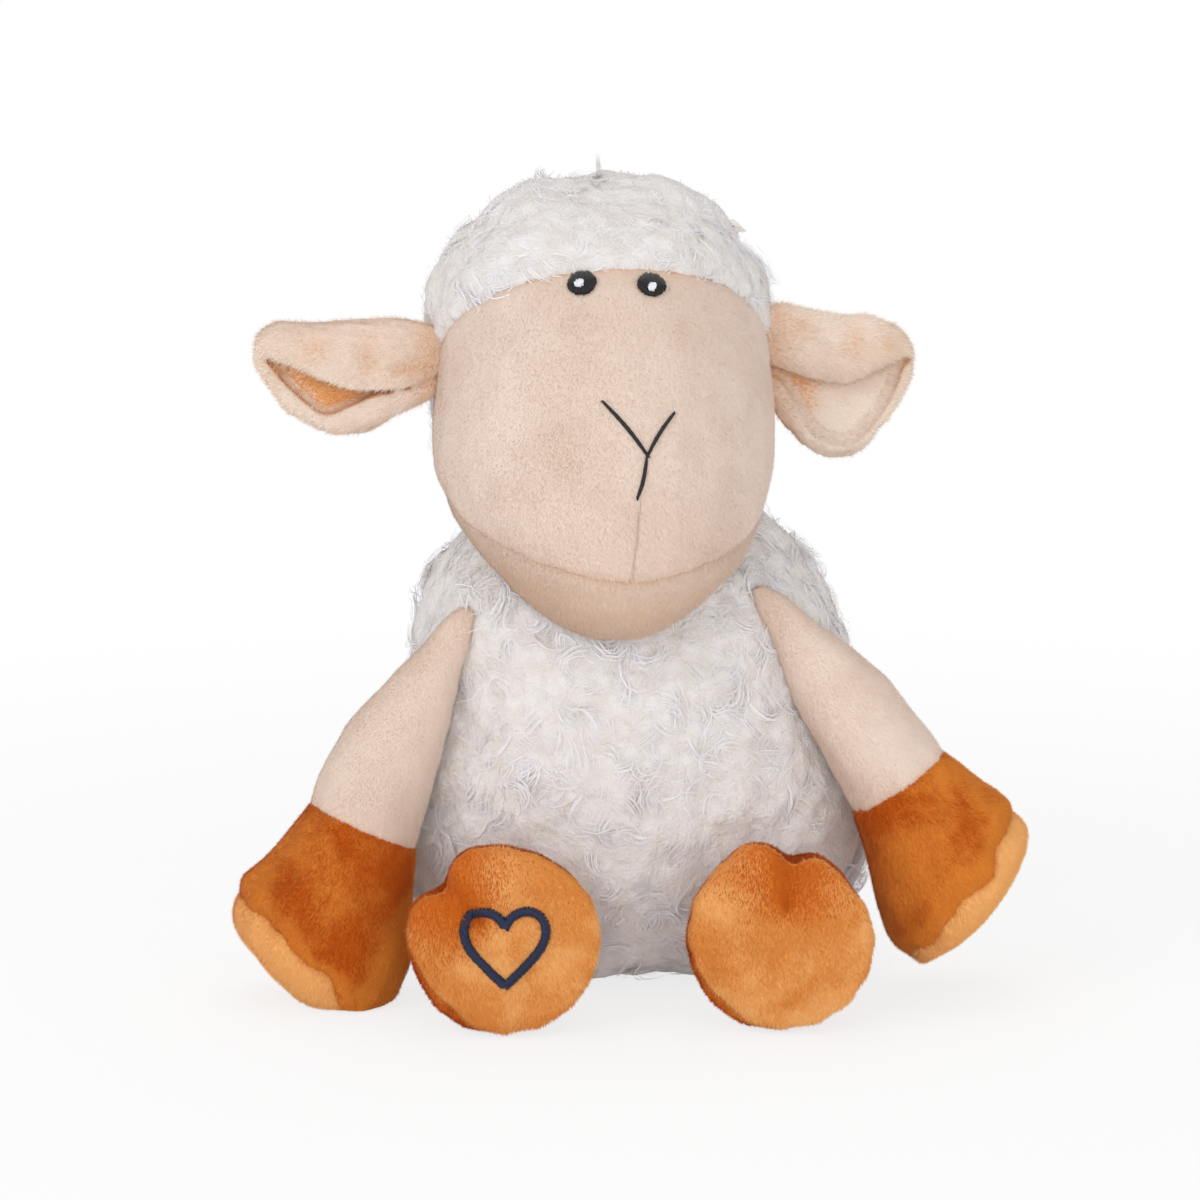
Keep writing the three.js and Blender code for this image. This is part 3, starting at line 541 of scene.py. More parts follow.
def ear_form(side_name):
    """A folded ear of padded cloth, its middle sheet, which parts lining and back, and its edges."""
    side = SIDES[side_name]
    root = joint_place[f"{side_name}_ear_flap"]
    frame_here = np.array((Matrix.Translation(root) @ turned(HEAD_YAW, "Z")).to_4x4())
    sections = ear_sections(side_name)
    count = len(sections)
    verts, sheet = [], []
    for index, section in enumerate(sections):
        along = np.gradient(section[:, 1:], axis=0)
        along /= np.linalg.norm(along, axis=1, keepdims=True)
        out_way = np.column_stack([np.zeros(EAR_AROUND), -along[:, 1], along[:, 0]])
        tip = min(1.0, 0.5 + 1.2 * math.sqrt((count - 1 - index) / count))
        half = EAR_CLOTH / 2 * tip * np.ones((EAR_AROUND, 1))
        half[[0, -1]] *= 0.7
        verts.append(np.vstack([section + out_way * half, (section - out_way * half)[::-1]]))
        sheet.append(section)

    def placed(points):
        points = points * [side, 1, 1] * MM
        return points @ frame_here[:3, :3].T + frame_here[:3, 3]

    ring = 2 * EAR_AROUND
    faces = [quad(row, column, ring, (column + 1) % ring)
             for row in range(count - 1) for column in range(ring)]
    faces += [list(range(ring))[::-1], [(count - 1) * ring + column for column in range(ring)]]
    mesh = bpy.data.meshes.new(f"{side_name}_ear")
    mesh.from_pydata(placed(np.vstack(verts)), [], faces)
    made = one_skin(f"{side_name}_ear", mesh, EAR_VOXEL, 8)
    sheet_faces = [quad(row, column, EAR_AROUND, column + 1)
                   for row in range(count - 1) for column in range(EAR_AROUND - 1)]
    tree = BVHTree.FromPolygons(placed(np.vstack(sheet)).tolist(), sheet_faces)
    hems = placed(np.vstack([sections[:, 0], sections[:, -1], sections[-1]]))
    return made, tree, hems


def quad(row, column, width, following):
    """A face between two rows of points, from one column to the following one."""
    here, beyond = row * width, (row + 1) * width
    return [here + column, here + following, beyond + following, beyond + column]


EAR_HEM = 4.2  # the lining starts this far inside the ear's edges, in millimetres
ear_sheets = {}
for side_name in SIDES:
    forms[f"{side_name}_ear"], sheet, hems = ear_form(side_name)
    ear_sheets[side_name] = (sheet, hems)
    forms[f"{side_name}_knot"] = remeshed(f"{side_name}_knot", [f"{side_name}_shoulder_knot"], EAR_VOXEL)


def lining_side(side_name, points):
    """How far each point of an ear lies to the inside of the middle of its cloth, in millimetres."""
    tree, _ = ear_sheets[side_name]
    found = []
    for point in points:
        place, normal, _, _ = tree.find_nearest(Vector(point))
        found.append((Vector(point) - place).dot(normal))
    return np.array(found) / MM * SIDES[side_name]


def from_hem(side_name, points):
    """Distance of each point of an ear from its edges, in millimetres."""
    _, hems = ear_sheets[side_name]
    gaps = np.full(len(points), np.inf)
    for hem in hems:
        gaps = np.minimum(gaps, np.linalg.norm(points - hem, axis=1))
    return gaps / MM


def seam_distances(name, points):
    """Distances in millimetres from the seams of a form, above zero on the side further from its root."""
    if name == "head":
        local = place_in(head_frame, points)[:, 1:]
        return {"hairline": -beside(hairline, local), "chin": beside(chin_seam, local)}
    if name == "torso":
        return {}
    side_name, limb = name.split("_")
    if limb == "knot":
        return {}
    if limb == "ear":
        inside = lining_side(side_name, points)
        return {"edge": np.minimum(inside, from_hem(side_name, points) - EAR_HEM) + 0.0001}
    if limb == "arm":
        local = place_in(arm_frame[side_name], points)
        ripple = wavy(local, 9.0, 0.5) + wavy(local, 2.6, 0.4, 2.0)
        return {"cuff": -local[:, 2] - ARM_CUFF * ARM_LENGTH + ripple,
                "sole": sole_line(side_name, local)}
    local = place_in(leg_frame[side_name], points)
    angle = np.arctan2(local[:, 0], -local[:, 1])
    back = 5.5 - 6.0 * notch(angle, -2.3, 0.8)
    return {"cuff": -local[:, 2] - LEG_CUFF * LEG_LENGTH,
            "sole": -local[:, 2] - LEG_SOLE * LEG_LENGTH + back + wavy(local, 9.0, 0.8)}


SOLE_RISE = {"right": 2, "left": 9}


def sole_line(side_name, local):
    """The wavy seam between an arm's hoof and its sole; the sole reaches higher on the outer side."""
    across = SIDES[side_name] * local[:, 0]
    rise = SOLE_RISE[side_name] + 0.34 * across + wavy(local, 15.0, 4.5, 3.0) + wavy(local, 6.0, 0.7, 6.0)
    return -local[:, 2] - ARM_SOLE * ARM_LENGTH + rise


for form_name, obj in forms.items():
    for field, values in seam_distances(form_name, points_of(obj.data)).items():
        store(obj.data, field, values)


def seams_of(mesh):
    """The distances from the seams that a form's points were given at the start."""
    fields = [field for field in ("hairline", "chin", "cuff", "sole", "edge") if field in mesh.attributes]
    return {field: rows_of(mesh.attributes[field].data, "value", 1)[:, 0] for field in fields}


SIM_STEPS = 20
SWELL_START = 1.2 * MM  # how far inside its form the cloth starts
SWELL_CAP = 4 * MM
SEAM_HOLD = 3.0
STUFFED_CLOTH = {
    "quality": 5, "mass": 0.2, "tension_stiffness": 14, "compression_stiffness": 14, "shear_stiffness": 6,
    "bending_stiffness": 0.6, "use_pressure": True, "uniform_pressure_force": 4, "vertex_group_mass": "held",
}


def swell(objects):
    """Blows the covers up like stuffed cloth held at its seams."""
    starts = {}
    for name, obj in objects.items():
        points = points_of(obj.data)
        starts[name] = points
        set_points(obj.data, points - normals_of(obj.data) * SWELL_START)
        held = obj.vertex_groups.new(name="held")
        hold = np.clip((3 * MM - points[:, 2]) / (2 * MM), 0, 1)
        for distance in seams_of(obj.data).values():
            hold = np.maximum(hold, bell(distance, SEAM_HOLD))
        for index, weight in enumerate(hold):
            if weight > 0.05:
                held.add([index], min(1.0, float(weight)), "REPLACE")
        cloth = obj.modifiers.new("stuffed cloth", "CLOTH")
        for setting, value in STUFFED_CLOTH.items():
            setattr(cloth.settings, setting, value)
        cloth.settings.effector_weights.gravity = 0
        cloth.point_cache.frame_start = 1
        cloth.point_cache.frame_end = SIM_STEPS
    for step in range(1, SIM_STEPS + 1):
        bpy.context.scene.frame_set(step)
    for name, obj in objects.items():
        swollen = evaluated(obj)
        moved = points_of(swollen) - starts[name]
        length = np.linalg.norm(moved, axis=1, keepdims=True)
        obj.modifiers.clear()
        obj.vertex_groups.clear()
        set_points(obj.data, starts[name] + moved * np.minimum(1, SWELL_CAP / np.maximum(length, 1e-9)))
        bpy.data.meshes.remove(swollen)
    bpy.context.scene.frame_set(1)


def refined(obj):
    """Twice as many points along every edge."""
    modifier = obj.modifiers.new("finer", "SUBSURF")
    modifier.levels = modifier.render_levels = 1
    mesh = evaluated(obj)
    obj.modifiers.clear()
    old = obj.data
    obj.data = mesh
    bpy.data.meshes.remove(old)


large_forms = {name: obj for name, obj in forms.items() if not name.endswith(("ear", "knot"))}
swell(large_forms)
for obj in large_forms.values():
    refined(obj)


# Seams, dimples and swells of the filling

def fleece_swell(points):
    """How far the curly cloth lies under or over its smooth form: broad lumps with smaller tufts on them."""
    return 0.4 - wavy(points, 24.0, 2.0) - wavy(points, 10.0, 1.8, 5.0) - wavy(points, 5.0, 0.8, 9.0)


# Dimples in the ears, each also painted a little darker for its shade: how far out and up, how wide, tall and
# deep, in millimetres
EAR_DENTS = {
    "right": [(21, 3.5, 4.5, 8.0, 2.4), (9, -2, 6.0, 3.0, 1.4), (40, 6, 6.0, 5.0, 1.0)],
    "left": [(9, 11, 5.0, 5.0, 1.8), (27, 5, 4.5, 8.0, 2.4), (39, 4, 4.0, 4.0, 1.2)],
}
# Painted shade in the ears' linings, strongest in the cup: at the root, how much is lost, and between which
# places on the way out
EAR_LINING_SHADE = {"right": (1.0, 0.45, 26, 50), "left": (0.8, 0.95, 8, 20)}
FOLD_REACH, FOLD_WAYS = 16 * MM, 18


def folds_of(mesh, points, normals):
    """How far each point is shut in by the cloth around it, 0 to 1."""
    tree = BVHTree.FromPolygons(points.tolist(), [tuple(p.vertices) for p in mesh.polygons])
    rng = np.random.default_rng(12)
    ways = rng.normal(size=(FOLD_WAYS, 3))
    ways /= np.linalg.norm(ways, axis=1, keepdims=True)
    shut = []
    for point, normal in zip(points, normals):
        start = Vector(point + normal * 0.4 * MM)
        aims = [Vector(way + normal * 1.05) for way in ways]
        met = sum(tree.ray_cast(start, aim, FOLD_REACH)[0] is not None for aim in aims)
        shut.append(met / FOLD_WAYS)
    return np.array(shut)


# Swells, all in millimetres. The torso's beside the arms: how high up, how tall and how far out
TORSO_SWELLS = {"right": (132, 24, 3.8), "left": (129, 27, 5.8)}
SHOULDER_SWELL, SHOULDER_REACH = 3.0, 13
# Bumps and hollows of the cap's outline: across, up, reach and height
CAP_BUMPS = (
    (-38, 277, 13, 3.0), (4, 279, 14, 2.4), (-59, 266, 12, -3.2), (-74, 241, 10, 1.8), (34, 259, 10, -1.8),
    (42, 244, 10, 0.8),
)
CAP_RISE = 2.4  # how far the cap's fleece stands over the face
CHEEK_SWELL = (178, 20, 2.6)  # of the right cheek: how high up, how tall and how far out
HOOF_SWELL = 4.5  # of the right hoof's outer side
RIGHT_SLEEVE_SWELL, LEFT_SLEEVE_HOLLOW = 2.8, 2.6  # of the sleeves' outer sides


def facing(normals, across, up=0.0, away=0.0):
    """How much each point faces a way, 0 to 1."""
    return np.clip(normals[:, 0] * across + normals[:, 2] * up - away, 0, 1)


def sculpted_torso(points, normals):
    sink = fleece_swell(place_in(Matrix.Translation(SEAT), points))
    height = points[:, 2] / MM
    for side_name, side in SIDES.items():
        away = np.linalg.norm(points - np.array(joint_place[f"{side_name}_arm_swing"]), axis=1) / MM
        sink -= SHOULDER_SWELL * bell(away, SHOULDER_REACH)
        up, tall, out = TORSO_SWELLS[side_name]
        sink -= out * bell(height, tall, up) * facing(normals, side)
    return sink, np.zeros(len(points))


def sculpted_head(points, normals, seams):
    local = place_in(head_frame, points)
    cap = ramp(-seams["hairline"], 0, 4)
    sink = wavy(local, 34.0, 1.0, 2.0) + wavy(local, 13.0, 0.35, 4.0)
    sink += (0.9 * bell(seams["chin"], 2.2) + 0.6 * bell(seams["chin"], 6.0)) * (seams["hairline"] > 0)
    sink += cap * (fleece_swell(local) - CAP_RISE)
    sink += 0.5 * bell(seams["hairline"], 2.2)
    across, height = points[:, 0] / MM, points[:, 2] / MM
    for here, up, reach, bump in CAP_BUMPS:
        sink -= cap * bump * bell(np.hypot(across - here, height - up), reach)
    up, tall, out = CHEEK_SWELL
    sink -= out * bell(height, tall, up) * facing(normals, -1.6, away=0.6)
    # painted shade along the chin seam, over the chin, which is turned down, and in the hairline's crease;
    # painted sheen lightens the face's sides
    warm = 0.2 * bell(seams["chin"], 2.5) + 0.3 * ramp(-seams["chin"], 0, 12)
    warm += 0.25 * bell(seams["hairline"], 3.0)
    warm -= 0.65 * ramp(np.abs(local[:, 0]), 22, 46) * (seams["chin"] > 0)
    return sink, warm


def sculpted_ear(side_name, mesh, points, normals):
    local = place_in(head_frame, points)
    sink = wavy(local, 12.0, 0.7, 4.0) + wavy(local, 5.0, 0.25, 4.0)
    root = place_in(head_frame, np.array([joint_place[f"{side_name}_ear_flap"]]))[0]
    out, up = (local[:, 0] - root[0]) * SIDES[side_name], local[:, 2] - root[2]
    lining = ramp(lining_side(side_name, points), -1.0, 1.0)
    warmest, lost, near, far = EAR_LINING_SHADE[side_name]
    # painted shade: in the lining's cup, and in the folds that shut out the light
    warm = lining * ramp(from_hem(side_name, points), 1.5, 7.0) * (warmest - lost * ramp(out, near, far))
    warm += 0.9 * ramp(folds_of(mesh, points, normals), 0.12, 0.6)
    for dent_out, dent_up, wide, tall, deep in EAR_DENTS[side_name]:
        dent = bell(out, wide, dent_out) * bell(up, tall, dent_up) * (lining < 0.5)
        sink += deep * dent
        warm += 0.3 * dent
    # painted shade on the back, near the root
    warm += 0.3 * (1 - lining) * bell(out, 6)
    return sink, warm


def sculpted_limb(side_name, limb, points, normals, seams):
    cuff, sole = seams["cuff"], seams["sole"]
    local = place_in((arm_frame if limb == "arm" else leg_frame)[side_name], points)
    sink = wavy(local, 24.0, 1.0, 7.0) + wavy(local, 9.0, 0.35, 1.0)
    sink += 0.3 * bell(cuff, 2.0) + 0.7 * bell(cuff, 5.0)
    sink += 0.5 * bell(sole, 2.0) + 0.5 * bell(sole, 4.5)
    sink -= 0.9 * bell(sole, 4.0, 7) + 0.7 * bell(sole, 4.0, -7)
    # painted shade in the cuff seam's groove
    warm = 0.2 * bell(cuff, 2.2)
    if limb == "leg":
        return sink, warm
    near_root = np.exp(local[:, 2] / 12.0)
    sink += 0.5 * near_root * np.cos(5 * np.arctan2(local[:, 1], local[:, 0]) + 1.0)
    outer = facing(normals, SIDES[side_name])
    if side_name == "left":
        sink += LEFT_SLEEVE_HOLLOW * outer * ramp(cuff, -45, 5)
    else:
        sink -= RIGHT_SLEEVE_SWELL * outer * ramp(cuff, -50, -15) * ramp(-cuff, -4, 12)
        sink -= HOOF_SWELL * ramp(cuff, 8, 40) * facing(normals, -0.8, -0.6)
    # painted shade in the sole seam and at the root, under the fleece
    warm += 0.25 * bell(sole, 2.2) + 0.2 * near_root
    # painted sheen: the cuff is painted lighter near the sole seam and at its sides
    lighter = 0.9 * ramp(sole, -10, -1) + 0.7 * ramp(np.abs(local[:, 0]), 15, 25)
    return sink, warm - ramp(cuff, 0, 6) * lighter


def sculpt(name, obj):
    """Seams drawn in, dimples and swells. Painted shade marks where the pile is painted darker for the shade
    in creases, seams and hollows; below zero it is painted sheen, painted lighter.
    """
    points, normals = points_of(obj.data), normals_of(obj.data)
    seams = seams_of(obj.data)
    side_name, _, part = name.partition("_")
    if name == "torso":
        sink, warm = sculpted_torso(points, normals)
    elif name == "head":
        sink, warm = sculpted_head(points, normals, seams)
    elif part == "ear":
        sink, warm = sculpted_ear(side_name, obj.data, points, normals)
    elif part == "knot":
        points = pinch(side_name, points)
        # a little painted shade all over the pinch, which lies under the fleece
        sink, warm = np.zeros(len(points)), np.full(len(points), 0.1)
    else:
        sink, warm = sculpted_limb(side_name, part, points, normals, seams)
    points = points - normals * (sink * MM)[:, None]
    if part == "arm":
        points = fuller_arm(side_name, points)
    if part == "leg":
        points, deeper = pinched_foot(side_name, points)
        warm += deeper
    points[:, 2] = np.maximum(points[:, 2], 0.1 * MM)
    set_points(obj.data, points)
    store(obj.data, "warmth", np.clip(warm, -1, 1))


# How much wider the arms are near their roots than their forms, on the inner and on the outer side
ARM_FULLER = {"right": (0.5, 3.0), "left": (5.5, 1.0)}
ARM_HALF_WIDTH = 21.5
ARM_ROOT_REACH = 12.5  # how far the root reaches up over the shoulder's pinch
ARM_ROOT_POINT = 0.78  # how much narrower it gets there
HOOF_RIM = 0.84  # where along the arm the hoof's end starts
HOOF_PLUMP = 3.5


def world_points(frame_here, local):
    matrix = np.array(frame_here)
    return (local * MM) @ matrix[:3, :3].T + matrix[:3, 3]


def fuller_arm(side_name, points):
    """A broad upper arm, a pointed root and a hoof that ends as a plump cushion with a rounded rim."""
    local = place_in(arm_frame[side_name], points)
    down = -local[:, 2] / ARM_LENGTH
    inner, outer = ARM_FULLER[side_name]
    upper = np.sin(np.pi * np.clip(down / 0.55, 0, 1)) ** 1.3
    outside = local[:, 0] * SIDES[side_name] > 0
    width = np.abs(local[:, 0]) / np.maximum(6, ARM_HALF_WIDTH * np.clip(down * 1.6 + 0.25, 0, 1))
    push = np.where(outside, outer, inner) * upper * np.clip(width, 0, 1)
    local[:, 0] += np.where(outside, 1, -1) * SIDES[side_name] * push
    local[:, 2] += ARM_ROOT_REACH * np.clip(1 + local[:, 2] / 20, 0, 1) ** 1.5
    local[:, :2] *= (1 - ARM_ROOT_POINT * ramp(local[:, 2], -9, ARM_ROOT_REACH))[:, None]
    end = ramp(down, HOOF_RIM, 1.02)
    radius = np.hypot(local[:, 0], local[:, 1])
    local[:, :2] *= (1 - 0.09 * end ** 2)[:, None]
    local[:, :2] *= (1 + 0.045 * bell(down, 0.09, HOOF_RIM))[:, None]
    local[:, 2] -= end * HOOF_PLUMP * (1 - np.clip(radius / 24, 0, 1) ** 2)
    return world_points(arm_frame[side_name], local)


def pinch(side_name, points):
    """The shoulder's gathered cloth: the knot drawn together, pleated and sunk into the shoulder."""
    local = place_in(arm_frame[side_name], points)
    pleats = 1 + 0.1 * np.cos(7 * np.arctan2(local[:, 1], local[:, 0]))
    local[:, :2] *= (0.3 * pleats)[:, None]
    local[:, 2] = 0.3 * local[:, 2] - 2.0
    return world_points(arm_frame[side_name], local)


# The pinch at the top of each foot: turn round the sole from straight up, towards the sheep's left
FOOT_PINCH = {"right": -0.85, "left": 0.12}
# The pinch itself and the bump on each side of it: turn, width and depth
FOOT_PLEATS = ((0, 0.2, 5.0), (-0.5, 0.28, -1.8), (0.5, 0.3, -1.4))
FOOT_SHOULDER = {"right": 0.0, "left": 3.4}  # how far the foot falls away beyond its second bump


def pinched_foot(side_name, points):
    """A foot drawn in at its top, and how much painted shade its pile gets near that pinch."""
    local = place_in(leg_frame[side_name], points)
    down = -local[:, 2] / LEG_LENGTH
    angle = np.arctan2(local[:, 0], -local[:, 1])
    radius = np.hypot(local[:, 0], local[:, 1])
    at = FOOT_PINCH[side_name]
    pull = FOOT_SHOULDER[side_name] * notch(angle, at + 0.7, 0.55)
    for aside, wide, depth in FOOT_PLEATS:
        pull += depth * notch(angle, at + aside, wide)
    pull *= ramp(down, 0.45, 0.85) * ramp(radius, 6, 20)
    local[:, :2] *= (1 - pull / np.maximum(radius, 1))[:, None]
    on_sole = ramp(down, 0.88, 0.95)
    local[:, 2] += 2.2 * notch(angle, at, 0.16) * ramp(radius, 5, 18) * on_sole
    deeper = 0.95 * on_sole * notch(angle, at, 0.9) * ramp(radius, 2, 15)
    return world_points(leg_frame[side_name], local), deeper


for form_name, obj in forms.items():
    sculpt(form_name, obj)


# Cutting a skin along its seams

SEAM_DEPTH, EAR_SEAM_DEPTH, DART_DEPTH = 0.6 * MM, 0.25 * MM, 0.9 * MM
DART_REACH = 9  # how far from it, in millimetres, edges still belong to the dart


def split_along(bm, value, others=(), reach=math.inf):
    """Splits a mesh where a value passes zero. Returns the new points."""
    fresh_points = []
    for edge in [e for e in bm.edges if value[e.verts[0]] * value[e.verts[1]] < 0
                 and max(abs(value[v]) for v in e.verts) < reach]:
        low, high = edge.verts
        share = value[low] / (value[low] - value[high])
        ends = [(other, other[low], other[high]) for other in others]
        _, fresh = bmesh.utils.edge_split(edge, low, share)
        for other, low_value, high_value in ends:
            other[fresh] = low_value + share * (high_value - low_value)
        value[fresh] = 0.0
        fresh_points.append(fresh)
    for face in list(bm.faces):
        ring = [v for v in face.verts if value[v] == 0.0]
        if len(ring) == 2 and not bm.edges.get(ring):
            bmesh.utils.face_split(face, ring[0], ring[1])
    return fresh_points


def pulled_under(bm, verts, depth):
    bm.normal_update()
    for vert, normal in [(v, v.normal.copy()) for v in verts]:
        vert.co -= normal * depth


def cut_pieces(obj, dart=None, depth=SEAM_DEPTH):
    """Splits a form into the pieces between its seams. A piece is keyed by its side of each seam."""
    bm = bmesh.new()
    bm.from_mesh(obj.data)
    bm.normal_update()
    layers = bm.verts.layers.float
    warmth = layers["warmth"]
    if dart is not None:
        bm.verts.ensure_lookup_table()
        value = dict(zip(bm.verts, dart))
        pulled_under(bm, split_along(bm, value, reach=DART_REACH), DART_DEPTH)
    fields = {name: {v: v[layers[name]] for v in bm.verts} for name in seams_of(obj.data)}
    for value in fields.values():
        split_along(bm, value, fields.values())
    under_fleece = fields.get("hairline", {})
    on_seams = [v for v in bm.verts if any(value[v] == 0.0 for value in fields.values())
                and under_fleece.get(v, 0) >= 0]
    pulled_under(bm, on_seams, depth)
    # the seams' grooves get painted shade
    for vert in on_seams:
        vert[warmth] = min(1.0, vert[warmth] + 0.15)
    groups = {}
    for face in bm.faces:
        key = tuple(sum(value[v] for v in face.verts) > 0 for value in fields.values())
        groups.setdefault(key, []).append(face)
    pieces = {}
    for key, faces in groups.items():
        order = {}
        corners = [[order.setdefault(v, len(order)) for v in face.verts] for face in faces]
        mesh = bpy.data.meshes.new("piece")
        mesh.from_pydata([v.co[:] for v in order], [], corners)
        mesh.shade_smooth()
        store(mesh, "warmth", [v[warmth] for v in order])
        pieces[key] = mesh
    bm.free()
    return pieces


def face_dart(points):
    """Signed distance from the short seam between the mouth and the chin, and 10 away from it."""
    local = place_in(head_frame, points)
    level = local[:, 2] + CHIN_DROP
    gap = local[:, 0] - 2.2 + (52 - level) * 0.1
    on_dart = (local[:, 1] < -20) & (level < 53) & (seams_of(forms["head"].data)["chin"] > -1.0)
    return np.where(on_dart, gap, 10.0)


COVER_THICK = 1.6 * MM
skins = {}


def cover(skin, name, mesh, material, body, nodes):
    """A finished cover: padded cloth over the solids that it stands for."""
    skins[skin] = obj = linked(name, mesh)
    mesh.materials.append(material)
    mesh.shade_smooth()
    edge_faces = np.zeros(len(mesh.edges), dtype=int)
    np.add.at(edge_faces, rows_of(mesh.loops, "edge_index", 1, int)[:, 0], 1)
    mesh.edges.foreach_set("use_edge_sharp", edge_faces == 1)
    wall = obj.modifiers.new("cloth thickness", "SOLIDIFY")
    wall.thickness = COVER_THICK
    wall.offset = -1
    wall.use_even_offset = False
    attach(obj, body)
    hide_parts(*nodes)


def limb_covers(name):
    pieces = cut_pieces(forms[name])
    for key, part, material, slot, inside in (
        ((False, False), "sleeve", cream_pile, "cream_pile", [f"{name}_filling"]),
        ((True, False), "hoof_cuff", brown_pile, "brown_hoof_pile", []),
        ((True, True), "sole", tan_pile, "tan_sole_pile", []),
    ):
        piece = f"{name}_{part}"
        cover(piece, f"{piece}_cover", pieces[key], material, name, [piece] + inside)


def ear_covers(ear):
    pieces = cut_pieces(forms[ear], depth=EAR_SEAM_DEPTH)
    for key, part, slot in ((False, "back", "cream_pile"), (True, "front", "cream_ear_lining")):
        layer = f"{ear}_{part}"
        cover(layer, f"{layer}_cover", pieces[(key,)], cream_pile, ear, [layer])


for side_name in SIDES:
    for limb in ("arm", "leg"):
        limb_covers(f"{side_name}_{limb}")
    ear_covers(f"{side_name}_ear")
    cover(f"{side_name}_knot", f"{side_name}_shoulder_pinch", forms[f"{side_name}_knot"].data.copy(),
          cream_pile, f"{side_name}_shoulder", [f"{side_name}_shoulder_knot"])

head_pieces = cut_pieces(forms["head"], face_dart(points_of(forms["head"].data)))
cap_mesh = merged("joined", [mesh for key, mesh in head_pieces.items() if not key[0]])
cover("head_fleece_cap", "head_cap_cover", cap_mesh, white_fleece, "head",
      ["head_fleece_cap", "head_filling"])
cover("face_panel", "face_panel_cover", head_pieces[(True, True)], face_pile, "head",
      ["face_panel"])
cover("chin_panel", "chin_panel_cover", head_pieces[(True, False)], chin_pile, "head",
      ["chin_panel"])
cover("torso_cover", "torso_fleece_cover", forms["torso"].data.copy(), white_fleece, "torso",
      ["torso_cover", "torso_filling"])


# Short pile and curls, grown over the covers by node trees

PILE_SOCKETS = {
    "Float": ("Density", "Size", "Spread", "Lean", "Swirl", "Swirl Scale", "Tone Scale", "Low", "High",
              "Shift", "Lowest", "Soft"),
    "Vector": ("Nap",),
    "Int": ("Seed",),
    "Collection": ("Kinds",),
    "Material": ("Yarn 1", "Yarn 2", "Yarn 3", "Yarn 4"),
}
# Inputs for the lowest and the highest value, and the output, of a random value
RANDOM_SOCKETS = {"FLOAT_VECTOR": (0, 1, 0), "FLOAT": (2, 3, 1), "INT": (4, 5, 2)}
KINDS = 12  # different fibres or curls in a pile
SMALLEST, LARGEST = 0.75, 1.25  # fibre or curl, as a share of the size that is asked for
SHADE_YARN_LIMIT = 0.5  # above it a strand takes the yarn of painted shade
FLOOR_GAP = 0.0001


def random_between(board, kind, low, high, seed):
    low_at, high_at, out = RANDOM_SOCKETS[kind]
    return board.node(
        "FunctionNodeRandomValue", {"data_type": kind}, {low_at: low, high_at: high, "Seed": seed}, out)


def stored(board, geometry, kind, name, value):
    return board.node("GeometryNodeStoreNamedAttribute", {"data_type": kind, "domain": "INSTANCE"},
                      {"Geometry": geometry, "Name": name, "Value": value})


def named(board, kind, name):
    return board.node("GeometryNodeInputNamedAttribute", {"data_type": kind}, {"Name": name})


